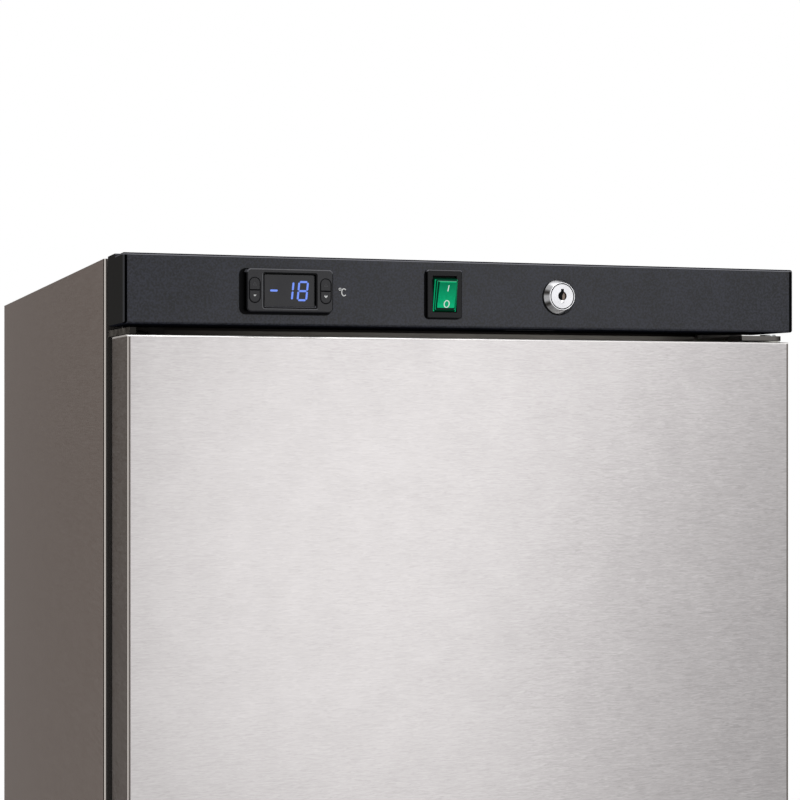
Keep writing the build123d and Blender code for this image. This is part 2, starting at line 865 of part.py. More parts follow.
def panel_carrier():
    """Black channel fixed to the cabinet that the control panel slides onto."""
    half = half_width - panel_wall - carrier_side_clearance
    y0 = front_y + panel_depth - carrier_overlap
    z0 = panel_bottom + panel_wall
    z1 = overall_height - carrier_top_step
    channel = block(-half, half, y0, cabinet_front_y, z0, z1)
    channel -= block(-half + carrier_wall, half - carrier_wall, y0 - 1, cabinet_front_y - carrier_wall,
                     z0 + carrier_wall, z1 - carrier_wall)
    notch = block(bracket_inner_x - 1, half_width - side_return, y0 + carrier_overlap - bolt_head_height,
                  cabinet_front_y + 1, z0 - 1, z0 + hinge_flange_height)
    return channel - notch - mirrored(notch)


# Controls

def controller_bezel():
    """Raised frame of the controller, with its window recess and the button holes."""
    base = facing(controller_x, front_y, controls_z) * RectangleRounded(
        controller_width + 2 * controller_draft, controller_height + 2 * controller_draft, controller_corner)
    crown = facing(controller_x, face_y, controls_z) * RectangleRounded(
        controller_width, controller_height, controller_corner)
    bezel = loft([base.face(), crown.face()])
    bezel = chamfer(bezel.edges().group_by(Axis.Y)[0], controller_edge)
    opening = facing(controller_x, front_y, controls_z)
    opening *= RectangleRounded(window_width, window_height, window_corner)
    bezel -= extrude(opening, 2 * controller_proud)
    bezel -= window_block(window_y, front_y)
    for index in range(4):
        bezel -= button_blank(index, near_clearance, face_y - 1, front_y)
    return bezel


def controls_block(x, width, height, y0, y1):
    """A block centred on the height of the controls."""
    return block(x - width / 2, x + width / 2, y0, y1, controls_z - height / 2, controls_z + height / 2)


def controller_block(y0, y1):
    """Outline of the controller's body between two depths."""
    return controls_block(controller_x, controller_body_width, controller_body_height, y0, y1)


def controller_body():
    """Sealed box of the controller behind the panel's face."""
    return controller_block(front_y, front_y + controller_body_depth)


def window_block(y0, y1):
    """Outline of the display window between two depths."""
    width = window_width + 2 * window_lip
    height = window_height + 2 * window_lip
    return controls_block(controller_x, width, height, y0, y1)


def display_window():
    """Dark filter plate in the bezel's recess."""
    return window_block(window_y, window_y + window_thickness) - digit_bars()


def bar_outline(x0, z0, x1, z1):
    """Corners of one bar of a seven-segment digit, pointed at both ends."""
    upright = x0 == x1
    half_length = (abs(x1 - x0) + abs(z1 - z0)) / 2 - digit_gap
    half = digit_stroke / 2
    run = half_length - half
    corners = [(-half_length, 0), (-run, half), (run, half), (half_length, 0), (run, -half), (-run, -half)]
    turned = [(v, u) if upright else (u, v) for u, v in corners]
    return [((x0 + x1) / 2 + u, (z0 + z1) / 2 + v) for u, v in turned]


def digit_outlines(name):
    """Bars of one digit about its own middle."""
    w = (digit_width - digit_stroke) / 2
    h = (digit_height - digit_stroke) / 2
    bars = {"top": (-w, h, w, h), "middle": (-w, 0, w, 0), "bottom": (-w, -h, w, -h),
            "upper_left": (-w, 0, -w, h), "upper_right": (w, 0, w, h),
            "lower_left": (-w, -h, -w, 0), "lower_right": (w, -h, w, 0)}
    lit = {"minus": ["middle"], "one": ["upper_right", "lower_right"], "eight": list(bars)}
    return [bar_outline(*bars[bar]) for bar in lit[name]]


def digit_bars():
    """Light guides of the lit digits, leaning to the right, set into the window's face."""
    lean = tan(radians(digit_slant))
    plane = facing(controller_x, window_y + digit_depth, controls_z)
    bars = []
    for name, place in digit_places.items():
        for corners in digit_outlines(name):
            outline = Polyline(*[(place + u + v * lean, v) for u, v in corners], close=True)
            bars.append(extrude(plane * make_face(outline), digit_depth + digit_relief))
    return bars


def display_digits():
    """All lit bars of the display."""
    return group(digit_bars())


def button_blank(index, grow, y0, y1):
    """Half of a pill shape: the left or right pair, its upper or lower half."""
    x = controller_x + (-button_offset if index < 2 else button_offset)
    width = button_width + 2 * grow
    height = button_pair_height + 2 * grow
    pill = extrude(facing(x, y1, controls_z) * SlotOverall(height, width, rotation=90), y1 - y0)
    split = button_split / 2 - grow
    low, high = (split, height) if index % 2 == 0 else (-height, -split)
    return pill & block(x - width, x + width, y0 - 1, y1 + 1, controls_z + low, controls_z + high)


def button(index):
    """One key of the controller."""
    y0 = face_y - button_proud
    key = button_blank(index, 0, y0, y0 + button_depth)
    return chamfer(key.edges().group_by(Axis.Y)[0], button_edge)


def switch_block(y0, y1):
    """Outline of the switch's body between two depths."""
    width = switch_opening_width + 2 * switch_body_wall
    height = switch_opening_height + 2 * switch_body_wall
    return controls_block(switch_x, width, height, y0, y1)


def switch_housing():
    """Switch housing: bezel, body with the rocker's well, and four terminals."""
    face = facing(switch_x, front_y, controls_z)
    face *= RectangleRounded(switch_width, switch_height, switch_corner)
    bezel = extrude(face, switch_proud)
    bezel = chamfer(bezel.edges().group_by(Axis.Y)[0], switch_edge)
    well = controls_block(switch_x, switch_opening_width, switch_opening_height,
                          front_y - switch_proud - 1, rocker_pivot_y + switch_well_depth)
    back = front_y + switch_body_depth
    housing = bezel + switch_block(front_y, back) - well
    for x in (switch_x - switch_opening_width / 4, switch_x + switch_opening_width / 4):
        for z in (controls_z - switch_opening_height / 4, controls_z + switch_opening_height / 4):
            housing += block(x - terminal_thickness / 2, x + terminal_thickness / 2,
                             back, back + terminal_length,
                             z - terminal_width / 2, z + terminal_width / 2)
    return housing - trunnions(seat_clearance)


def trunnions(grow):
    """The rocker's two pivots in one rod, or with a clearance their holes."""
    reach = switch_opening_width / 2 + trunnion_length + grow
    return rod_x(trunnion_radius + grow, rocker_pivot_y, controls_z, switch_x - reach, switch_x + reach)


def rocker_profile(half, back_half):
    """Rocker's cut across or along its pivot: bevelled to the front, from the pivot at the origin."""
    crown = half - rocker_bevel
    top = -rocker_shoulder - rocker_rise
    return Polyline((back_half, rocker_back), (half, -rocker_shoulder), (crown, top),
                    (-crown, top), (-half, -rocker_shoulder), (-back_half, rocker_back), close=True)


def rocker():
    """Green rocker with bevelled sides and ends, at rest with its upper end out."""
    end = rocker_half_length
    across = extrude(make_face(rocker_profile(rocker_half_width, rocker_half_width)), end, both=True)
    along = Plane(origin=(0, 0, 0), x_dir=(0, 0, 1), z_dir=(-1, 0, 0))
    lengthwise = along * make_face(rocker_profile(end, end - rocker_taper))
    body = across & extrude(lengthwise, rocker_half_width, both=True)
    place = Pos(switch_x, rocker_pivot_y, controls_z) * Rot(rocker_tilt, 0, 0)
    return place * body + trunnions(0)


def lock_housing():
    """Conical chrome lock body with its threaded barrel."""
    head_radius = plug_face_radius + hinge_pin_clearance
    bore_radius = plug_shaft_radius + hinge_pin_clearance
    seat_y = -lock_proud + plug_face_depth
    profile = Polyline(
        (head_radius, -lock_proud), (lock_face_radius, -lock_proud), (lock_base_radius, -lock_rim),
        (lock_base_radius, 0), (lock_barrel_radius, 0), (lock_barrel_radius, lock_barrel_depth),
        (bore_radius, lock_barrel_depth), (bore_radius, seat_y), (head_radius, seat_y), close=True)
    return Pos(lock_x, front_y, controls_z) * revolve(make_face(profile), Axis.Y)


def lock_nut():
    """Hexagon nut that clamps the lock to the panel from behind."""
    y0 = front_y + panel_wall
    y1 = y0 + nut_thickness
    bore = rod_y(lock_barrel_radius + seat_clearance, lock_x, controls_z, y0 - 1, y1 + 1)
    return hexagon_y(nut_width, lock_x, controls_z, y0, y1) - bore


def lock_plug():
    """Turning plug with its keyway, and the shaft that carries the cam."""
    y0 = front_y - lock_proud
    z = controls_z + keyway_rise
    plug = rod_y(plug_face_radius, lock_x, controls_z, y0, y0 + plug_face_depth - hinge_pin_clearance)
    plug += rod_y(plug_shaft_radius, lock_x, controls_z, y0, cam_back_y)
    plug -= rod_y(keyway_dish_radius, lock_x, z, y0 - 1, y0 + keyway_dish_depth)
    return plug - block(lock_x - keyway_width / 2, lock_x + keyway_width / 2, y0 - 1, y0 + keyway_depth,
                        z - keyway_height / 2, z + keyway_height / 2)


def lock_cam():
    """Flat cam on the plug's shaft, lying level when the door is free."""
    middle_x = lock_x - (cam_length - cam_width / 2) / 2
    arm = facing(middle_x, cam_back_y, controls_z) * SlotOverall(cam_length + cam_width / 2, cam_width)
    hole = rod_y(plug_shaft_radius + seat_clearance, lock_x, controls_z, front_y, cam_back_y + 1)
    return extrude(arm, cam_thickness - near_clearance) - hole


# Evaporator

def shelf_decks():
    """Wire decks: cross wires between two side rods, each as one holed sheet."""
    gap_length = 2 * (shelf_half_width - shelf_rod)
    gaps = GridLocations(gap_length, shelf_wire_pitch, 1, shelf_wire_count - 1)
    gap = Rectangle(gap_length, shelf_wire_pitch - shelf_wire)
    deck = Rectangle(2 * shelf_half_width, shelf_depth) - gaps * gap
    middle_y = shelf_front_y + shelf_depth / 2
    return group([extrude(Pos(0, middle_y, shelf_level(index)) * deck, shelf_wire)
                  for index in range(shelf_count)])


def coil_serpentine(z, side):
    """Flat serpentine under one shelf, starting at the left where side is 1."""
    front = shelf_front_y + coil_front_margin
    turn_back = shelf_front_y + shelf_depth - coil_back_margin
    points = []
    for step in range(coil_passes):
        x = side * (step * coil_pitch - coil_reach)
        back = coil_joint_y if step in (0, coil_passes - 1) else turn_back
        run = [(x, back, z), (x, front, z)]
        points += run if step % 2 == 0 else reversed(run)
    return tube(points, [coil_pitch / 2 - turn_run] * (len(points) - 2), coil_radius)


def coil_riser(points):
    """Riser behind the shelves, bent at every inner point."""
    return tube(points, [coil_riser_bend] * (len(points) - 2), coil_radius)


def evaporator_coil():
    """Refrigerant tube: a serpentine under every shelf, brazed to the risers behind them."""
    levels = [shelf_level(index) - coil_radius - coil_seat_gap for index in range(shelf_count)]
    sides = [1 if index % 2 == 0 else -1 for index in range(shelf_count)]
    back = coil_back_y
    bottom = machine_top - coil_tail
    pieces = [coil_serpentine(z, side) for z, side in zip(levels, sides)]
    pieces.append(coil_riser([(-coil_reach, back, bottom), (-coil_reach, back, levels[0]),
                              (-coil_reach, coil_joint_y, levels[0])]))
    for low, high, side in zip(levels, levels[1:], sides):
        x = side * coil_reach
        pieces.append(coil_riser([(x, coil_joint_y, low), (x, back, low),
                                  (x, back, high), (x, coil_joint_y, high)]))
    end_x = sides[-1] * coil_reach
    pieces.append(coil_riser([(end_x, coil_joint_y, levels[-1]), (end_x, back, levels[-1]),
                              (coil_return_x, back, levels[-1]), (coil_return_x, back, bottom)]))
    return group(pieces)


# Condenser

def condenser_pass_z(index):
    """Height of one horizontal run of the condenser."""
    return condenser_top - index * condenser_pitch


def condenser_coil():
    """Serpentine tube on the cabinet's back, brazed to a tail at each side that goes down."""
    half = condenser_half_width
    joint = half - condenser_corner_bend - joint_run
    last = condenser_passes - 1
    points = []
    for index in range(condenser_passes):
        z = condenser_pass_z(index)
        right = joint if index == 0 else half - condenser_inner_step
        left = -joint if index == last else -half
        run = [(right, condenser_y, z), (left, condenser_y, z)]
        points += run if index % 2 == 0 else reversed(run)
    pieces = [tube(points, [condenser_pitch / 2 - turn_run] * (len(points) - 2), condenser_radius)]
    for side, index in ((1, 0), (-1, last)):
        z = condenser_pass_z(index)
        tail = [(side * half, condenser_y, condenser_tail_z), (side * half, condenser_y, z),
                (side * joint, condenser_y, z)]
        pieces.append(tube(tail, [condenser_corner_bend], condenser_radius))
    return group(pieces)


def condenser_wires():
    """Heat wires on both sides of the condenser, each side as one slotted sheet."""
    top = condenser_top + condenser_wire_overhang
    bottom = condenser_bottom - condenser_wire_overhang
    gap = condenser_wire_pitch - condenser_wire
    width = (condenser_wire_count - 1) * condenser_wire_pitch + condenser_wire
    height = top - bottom
    gaps = GridLocations(condenser_wire_pitch, 0, condenser_wire_count - 1, 1)
    sheet = Rectangle(width, height) - gaps * Rectangle(gap, height - 2 * condenser_wire)
    reach = condenser_radius + near_clearance
    sides = []
    for y in (condenser_y - reach, condenser_y + reach + condenser_wire):
        sides.append(extrude(facing(0, y, (top + bottom) / 2) * sheet, condenser_wire))
    return group(sides)


def condenser_clips():
    """Plastic posts that hold the condenser off the back sheet."""
    posts = []
    for side in (-1, 1):
        x = side * clip_column * condenser_wire_pitch
        for row in clip_rows:
            z = condenser_pass_z(row)
            post = block(x - clip_width / 2, x + clip_width / 2, rear_sheet_y, rear_sheet_y + clip_reach,
                         z - clip_height / 2, z + clip_height / 2)
            reach = condenser_radius + near_clearance
            posts.append(post - rod_x(reach, condenser_y, z, x - clip_width, x + clip_width))
    return group(posts)


# Compressor and pipework

def mount_places():
    """Centres of the compressor's four rubber mounts."""
    reach_x = foot_plate_length / 2 - grommet_inset
    reach_y = foot_plate_width / 2 - grommet_inset
    return [(compressor_x + sx * reach_x, compressor_y + sy * reach_y) for sx in (-1, 1) for sy in (-1, 1)]


def rounded_block(width, depth, radius, z0, z1):
    """Upright block with rounded corners at the compressor's place."""
    return extrude(Pos(compressor_x, compressor_y, z0) * RectangleRounded(width, depth, radius), z1 - z0)


def compressor():
    """Hermetic compressor: domed shell with a welded seam on its foot plate."""
    top = compressor_z + compressor_height
    shell = rounded_block(compressor_length, compressor_width, compressor_corner, compressor_z, top)
    shell = fillet(shell.edges().group_by(Axis.Z)[-1], compressor_crown)
    shell = fillet(shell.edges().group_by(Axis.Z)[0], compressor_base_radius)
    seam_z = compressor_z + compressor_seam_rise
    shell += rounded_block(compressor_length + 2 * compressor_seam, compressor_width + 2 * compressor_seam,
                           compressor_corner + compressor_seam, seam_z, seam_z + compressor_seam_height)
    shell += rounded_block(foot_plate_length, foot_plate_width, foot_plate_corner, foot_plate_z, compressor_z)
    shell -= rounded_block(compressor_length - 2 * compressor_wall, compressor_width - 2 * compressor_wall,
                           compressor_corner - compressor_wall, compressor_z + 2 * compressor_wall,
                           top - compressor_crown)
    return shell - [rod_z(grommet_neck_radius + near_clearance, x, y, foot_plate_z - 1, compressor_z + 1)
                    for x, y in mount_places()]


def compressor_grommets():
    """Rubber mounts between the base and the foot plate."""
    top = compressor_z + grommet_cap_height
    mounts = []
    for x, y in mount_places():
        mount = rod_z(grommet_radius, x, y, base_top, foot_plate_z)
        mount += rod_z(grommet_neck_radius, x, y, foot_plate_z, compressor_z)
        mount += rod_z(grommet_cap_radius, x, y, compressor_z, top)
        mounts.append(mount - rod_z(mount_bolt_radius + near_clearance, x, y, base_top - 1, top + 1))
    return group(mounts)


def compressor_bolts():
    """Bolts through the rubber mounts, welded to the base at their feet."""
    top = compressor_z + grommet_cap_height
    bolts = []
    for x, y in mount_places():
        head = extrude(Pos(x, y, top) * RegularPolygon(mount_bolt_head_width / 2, 6, major_radius=False),
                       mount_bolt_head_height)
        bolts.append(head + rod_z(mount_bolt_radius, x, y, base_top, top))
    return group(bolts)


def terminal_cover():
    """Plastic cover over the compressor's terminals and relay."""
    y0 = compressor_y + compressor_width / 2
    z0 = compressor_z + terminal_box_rise
    half = terminal_box_width / 2
    cover = block(compressor_x - half, compressor_x + half, y0, y0 + terminal_box_depth,
                  z0, z0 + terminal_box_height)
    return fillet(cover.edges().group_by(Axis.Y)[-1] + cover.edges().filter_by(Axis.Y), terminal_box_corner)


def suction_tube():
    """Tube from the evaporator's outlet down to the compressor."""
    z = compressor_z + suction_rise
    start_x = compressor_x + compressor_length / 2
    points = [(coil_return_x, coil_back_y, machine_top - coil_tail), (coil_return_x, coil_back_y, z),
              (start_x, coil_back_y, z)]
    return tube(points, [pipe_bend], suction_radius)


def discharge_tube():
    """Tube from the compressor to the condenser's inlet."""
    z = compressor_z + discharge_rise
    y = compressor_y - discharge_offset
    x = condenser_half_width
    points = [(compressor_x + compressor_length / 2, y, z), (x, y, z), (x, condenser_y, z),
              (x, condenser_y, condenser_tail_z)]
    return tube(points, [pipe_bend] * 2, discharge_radius)


def filter_drier():
    """Copper drier under the condenser's outlet, with a neck at each end."""
    top = -drier_neck
    bottom = top - drier_length
    profile = Polyline(
        (0, 0), (condenser_radius, 0), (condenser_radius, top / 2), (drier_radius, top),
        (drier_radius, bottom), (2 * capillary_radius, bottom - drier_neck / 2),
        (2 * capillary_radius, bottom - drier_neck), (0, bottom - drier_neck), close=True)
    turned = revolve(Plane.XZ * make_face(profile), Axis.Z)
    return Pos(-condenser_half_width, condenser_y, condenser_tail_z) * turned


def capillary_tube():
    """Thin tube from the drier to the evaporator's inlet."""
    x = -condenser_half_width
    points = [(x, condenser_y, drier_end_z), (x, condenser_y, capillary_low_z),
              (-coil_reach, coil_back_y, capillary_low_z),
              (-coil_reach, coil_back_y, machine_top - coil_tail)]
    return tube(points, [pipe_bend] * 2, capillary_radius)


def cable_gland():
    """Gland in the base's rear flange where the mains lead enters."""
    z = cabinet_bottom + base_flange / 2
    body = rod_y(gland_radius, gland_x, z, base_back_y - gland_length, base_back_y)
    body += rod_y(gland_flange_radius, gland_x, z, base_back_y, base_back_y + gland_flange)
    return body - rod_y(gland_bore_radius, gland_x, z, base_back_y - 2 * gland_length, rear_y + 1)


# Feet and rollers

def foot(x):
    """Levelling foot: pad, hexagon and threaded stem."""
    y = cabinet_front_y + foot_setback
    pad = rod_z(foot_pad_radius, x, y, 0, foot_pad_height)
    pad = chamfer(pad.edges().group_by(Axis.Z)[-1], foot_pad_bevel)
    hexagon = extrude(Pos(x, y, foot_pad_height) * RegularPolygon(foot_hex_width / 2, 6, major_radius=False),
                      foot_hex_height)
    return pad + hexagon + rod_z(foot_stem_radius, x, y, foot_pad_height, foot_stem_top)


def roller(x):
    """Plastic roller with a bore for its axle."""
    y = rear_y - roller_setback
    half = roller_width / 2
    wheel = rod_x(roller_radius, y, roller_radius, x - half, x + half)
    wheel = chamfer(wheel.edges().filter_by(GeomType.CIRCLE), roller_edge)
    bore_radius = roller_axle_radius + roller_axle_clearance
    return wheel - rod_x(bore_radius, y, roller_radius, x - half - 1, x + half + 1)


def roller_brackets():
    """Folded brackets under the base at the rear, each with its roller's axle."""
    y = rear_y - roller_setback
    inner = roller_width / 2 + roller_side_clearance
    outer = inner + roller_bracket_sheet
    half = roller_bracket_length / 2
    low = cabinet_bottom - roller_bracket_drop
    made = []
    for x in (-roller_x, roller_x):
        bracket = block(x - outer, x + outer, y - half, y + half, low, cabinet_bottom)
        bracket -= block(x - inner, x + inner, y - half - 1, y + half + 1, low - 1,
                         cabinet_bottom - roller_bracket_sheet)
        made.append(bracket + rod_x(roller_axle_radius, y, roller_radius, x - outer, x + outer))
    return group(made)


SUBPARTS = {
    "side_panel_left": side_panel,
    "side_panel_right": lambda: mirrored(side_panel()),
    "top_panel": top_panel,
    "rear_panel": rear_panel,
    "machine_deck": machine_deck,
    "base_frame": base_frame,
    "front_frame": front_frame,
    "inner_liner": inner_liner,
    "insulation": insulation,
    "kick_plate": kick_plate,
    "door_skin": door_skin,
    "door_liner": door_liner,
    "door_foam": door_foam,
    "door_gasket": door_gasket,
    "handle_cup": handle_cup,
    "hinge_bushes": hinge_bushes,
    "lock_strike": lock_strike,
    "hinge_bracket_top": hinge_bracket_top,
    "hinge_bracket_bottom": hinge_bracket_bottom,
    "support_bracket": support_bracket,
    "hinge_bolts": hinge_bolts,
    "hinge_pins": hinge_pins,
    "control_panel": control_panel,
    "panel_carrier": panel_carrier,
    "controller_bezel": controller_bezel,
    "controller_body": controller_body,
    "display_window": display_window,
    "display_digits": display_digits,
    "button_left_upper": lambda: button(0),
    "button_left_lower": lambda: button(1),
    "button_right_upper": lambda: button(2),
    "button_right_lower": lambda: button(3),
    "switch_housing": switch_housing,
    "rocker": rocker,
    "lock_housing": lock_housing,
    "lock_nut": lock_nut,
    "lock_plug": lock_plug,
    "lock_cam": lock_cam,
    "shelf_decks": shelf_decks,
    "evaporator_coil": evaporator_coil,
    "condenser_coil": condenser_coil,
    "condenser_wires": condenser_wires,
    "condenser_clips": condenser_clips,
    "compressor": compressor,
    "compressor_grommets": compressor_grommets,
    "compressor_bolts": compressor_bolts,
    "terminal_cover": terminal_cover,
    "suction_tube": suction_tube,
    "discharge_tube": discharge_tube,
    "filter_drier": filter_drier,
    "capillary_tube": capillary_tube,
    "cable_gland": cable_gland,
    "foot_left": lambda: foot(-foot_x),
    "foot_right": lambda: foot(foot_x),
    "roller_left": lambda: roller(-roller_x),
    "roller_right": lambda: roller(roller_x),
    "roller_brackets": roller_brackets,
}


os.makedirs("parts", exist_ok=True)
for node, build in SUBPARTS.items():
    export_step(build(), f"parts/{node}.step")
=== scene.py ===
"""Looks of a single-door upright storage freezer in stainless steel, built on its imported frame."""

import json
import logging
import math
from dataclasses import dataclass
from enum import Enum
from typing import Any, Callable, ClassVar, Sequence

import bmesh
import bpy
from mathutils import Matrix, Vector

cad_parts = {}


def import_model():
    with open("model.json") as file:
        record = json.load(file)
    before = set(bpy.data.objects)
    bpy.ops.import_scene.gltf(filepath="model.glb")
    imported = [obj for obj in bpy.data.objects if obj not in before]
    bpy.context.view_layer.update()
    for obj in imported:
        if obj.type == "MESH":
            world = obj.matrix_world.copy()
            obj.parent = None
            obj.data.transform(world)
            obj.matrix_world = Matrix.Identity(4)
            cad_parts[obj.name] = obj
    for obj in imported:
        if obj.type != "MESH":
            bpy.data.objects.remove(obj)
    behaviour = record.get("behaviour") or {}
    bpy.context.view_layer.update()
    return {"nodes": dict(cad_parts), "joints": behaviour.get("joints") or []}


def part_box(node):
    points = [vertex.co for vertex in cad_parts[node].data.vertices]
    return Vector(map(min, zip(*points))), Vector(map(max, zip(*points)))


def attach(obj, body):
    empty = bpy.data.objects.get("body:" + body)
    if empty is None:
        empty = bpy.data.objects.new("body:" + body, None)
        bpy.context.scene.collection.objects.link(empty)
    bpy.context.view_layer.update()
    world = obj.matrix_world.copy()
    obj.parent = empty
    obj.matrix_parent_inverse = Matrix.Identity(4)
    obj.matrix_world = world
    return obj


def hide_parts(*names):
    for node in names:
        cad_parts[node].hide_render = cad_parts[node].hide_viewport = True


LOG = logging.getLogger("freezer")
MM = 0.001
MIX_FACTOR, MIX_A, MIX_B, MIX_RESULT = 0, 6, 7, 2

Flat = tuple[float, float]
Point = tuple[float, float, float]
Node = bpy.types.Node
Socket = bpy.types.NodeSocket
Lift = Callable[[float, float, float], Vector]
Coat = Callable[[int, int], int]


def link(name: str, data: bpy.types.ID) -> bpy.types.Object:
    """Puts mesh, lamp or camera data into the scene.

    Args:
        name: Name of the new object.
        data: The object's data.

    Returns:
        The object.
    """
    made = bpy.data.objects.new(name, data)
    bpy.context.scene.collection.objects.link(made)
    return made


# Colour and shader nodes


def linear(hex_colour: str) -> tuple[float, float, float, float]:
    """Turns an sRGB hex colour into linear light.

    Args:
        hex_colour: Colour such as "#A1B2C3".

    Returns:
        Linear red, green, blue and an alpha of 1.
    """
    channels = [int(hex_colour[at:at + 2], 16) / 255 for at in (1, 3, 5)]
    red, green, blue = (
        c / 12.92 if c <= 0.04045 else ((c + 0.055) / 1.055) ** 2.4 for c in channels)
    return red, green, blue, 1.0


def per_metre(millimetres: float) -> float:
    """Gives the pattern scale whose features are this many millimetres apart."""
    return 1.0 / (millimetres * MM)


class Grain(Enum):
    """Way in which a surface was brushed: how much finer its streaks are along X, Y and Z."""

    LEVEL = (0.05, 0.05, 1.0)
    WAVY = (0.1, 0.1, 1.0)
    ACROSS = (0.05, 1.0, 1.0)
    NONE = (1.0, 1.0, 1.0)


class Graph:
    """The shader nodes of one material or of the surround."""

    def __init__(self, owner: bpy.types.Material | bpy.types.World) -> None:
        """Starts with an empty node tree.

        Args:
            owner: What the nodes are for.
        """
        owner.use_nodes = True
        self.tree = owner.node_tree
        self.tree.nodes.clear()

    def add(self, kind: str, inputs: dict[str | int, Any] | None = None, **settings: Any) -> Node:
        """Adds a shader node with its settings, input values and links.

        Args:
            kind: Kind of node, as Blender names it after "ShaderNode".
            inputs: Value or output socket for each input, by the input's name or number.
            settings: The node's own properties.

        Returns:
            The new node.
        """
        node = self.tree.nodes.new("ShaderNode" + kind)
        for name, value in settings.items():
            setattr(node, name, value)
        for key, value in (inputs or {}).items():
            if isinstance(value, Socket):
                self.tree.links.new(value, node.inputs[key])
            else:
                node.inputs[key].default_value = value
        return node

    def calc(self, operation: str, *values: float | Socket) -> Socket:
        """Gives the result of a sum on numbers or patterns."""
        return self.add("Math", dict(enumerate(values)), operation=operation).outputs[0]

    def place(self) -> Socket:
        """Gives the place on the piece in metres, which moves with the piece."""
        return self.add("TexCoord").outputs["Object"]

    def split(self, vector: Socket) -> list[Socket]:
        """Gives a vector's parts along X, Y and Z."""
        return list(self.add("SeparateXYZ", {0: vector}).outputs)

    def tangent(self, axis: str) -> Socket:
        """Gives the direction that runs round an axis."""
        return self.add("Tangent", direction_type="RADIAL", axis=axis).outputs[0]

    def facing(self) -> Socket:
        """Gives 0 where a surface is seen square on, up to 1 where it is seen along itself."""
        return self.add("LayerWeight", {"Blend": 0.5}).outputs["Facing"]

    def slope(self, axis: int) -> Socket:
        """Gives how squarely a face looks along an axis, counted from 0: from -1 to 1."""
        return self.split(self.add("NewGeometry").outputs["Normal"])[axis]

    def turned_to(self, axis: int) -> Socket:
        """Gives 1 on faces square to an axis, counted from 0, and 0 on those well away from it."""
        return self.spread(self.calc("ABSOLUTE", self.slope(axis)), 0.0, 1.0, 0.6, 0.8)

    def noise(self, place: Socket, size: float, stretch: Grain = Grain.NONE, detail: float = 3.0,
              roughness: float = 0.5, distortion: float = 0.0) -> Socket:
        """Adds a noise of a real size.

        Args:
            place: The place on the piece.
            size: Size of the smallest features across the grain, in millimetres.
            stretch: Direction in which the features are drawn out.
            detail: Number of finer layers.
            roughness: Strength of the finer layers.
            distortion: How far the features are bent.

        Returns:
            The noise's value, about 0.5 on average.
        """
        mapped = self.add("Mapping", {"Vector": place, "Scale": stretch.value}).outputs[0]
        return self.add("TexNoise", {
            "Vector": mapped, "Scale": per_metre(size), "Detail": detail,
            "Roughness": roughness, "Distortion": distortion}).outputs["Fac"]

    def spread(self, value: Socket, low: float, high: float, from_low: float = 0.3,
               from_high: float = 0.7) -> Socket:
        """Maps a pattern's usual range onto another one.

        Args:
            value: The pattern.
            low: Result at the pattern's low end.
            high: Result at the pattern's high end.
            from_low: The pattern's low end.
            from_high: The pattern's high end.

        Returns:
            The mapped value.
        """
        return self.add("MapRange", {
            "Value": value, "From Min": from_low, "From Max": from_high,
            "To Min": low, "To Max": high}).outputs[0]

    def vary(self, value: Socket, middle: float, reach: float, *ends: float) -> Socket:
        """Maps a pattern onto a number that varies about its middle.

        Args:
            value: The pattern.
            middle: The number's middle.
            reach: How far it goes to either side.
            ends: The pattern's low and high end, where they aren't the usual ones.

        Returns:
            The mapped value.
        """
        return self.spread(value, middle - reach, middle + reach, *ends)

    def blend(self, factor: Socket, low: str | Socket, high: str | Socket) -> Socket:
        """Mixes two colours by a pattern.

        Args:
            factor: The pattern.
            low: Colour where the pattern is 0, as hex or as a socket.
            high: Colour where the pattern is 1, as hex or as a socket.

        Returns:
            The mixed colour.
        """
        first, second = (linear(end) if isinstance(end, str) else end for end in (low, high))
        return self.add("Mix", {MIX_FACTOR: factor, MIX_A: first, MIX_B: second},
                        data_type="RGBA").outputs[MIX_RESULT]

    def bump(self, height: Socket, depth: float, strength: float | Socket = 1.0) -> Socket:
        """Turns a height pattern into a bumped normal.

        Args:
            height: The pattern.
            depth: Height of the pattern from 0 to 1, in millimetres.
            strength: Share of the effect that is kept.

        Returns:
            The normal.
        """
        return self.add("Bump", {
            "Height": height, "Distance": depth * MM, "Strength": strength}).outputs[0]

    def from_corner(self, place: Socket, half_width: float, front: float) -> Socket:
        """Measures how far a point lies from the nearer upright corner of a front.

        Args:
            place: The place on the piece.
            half_width: Half the front's width, in millimetres.
            front: The front's place along Y.

        Returns:
            Distance across the front and along the side added up, in millimetres.
        """
        x, y, _ = self.split(place)
        both = self.calc("SUBTRACT", y, self.calc("ABSOLUTE", x))
        return self.calc("MULTIPLY_ADD", both, 1.0 / MM, half_width - front)


# Finishes


@dataclass(frozen=True)
class Finish:
    """A real material together with how its surface was made."""

    name: str

    def material(self) -> bpy.types.Material:
        """Gives this finish's material, made on its first use.

        Returns:
            The material.
        """
        known = bpy.data.materials.get(self.name)
        if known:
            return known
        material = bpy.data.materials.new(self.name)
        graph = Graph(material)
        graph.add("OutputMaterial", {"Surface": self.shade(graph).outputs[0]})
        return material

    def shade(self, graph: Graph) -> Node:
        """Builds the shader.

        Args:
            graph: The material's nodes.

        Returns:
            The node whose first output is the surface.
        """
        raise NotImplementedError


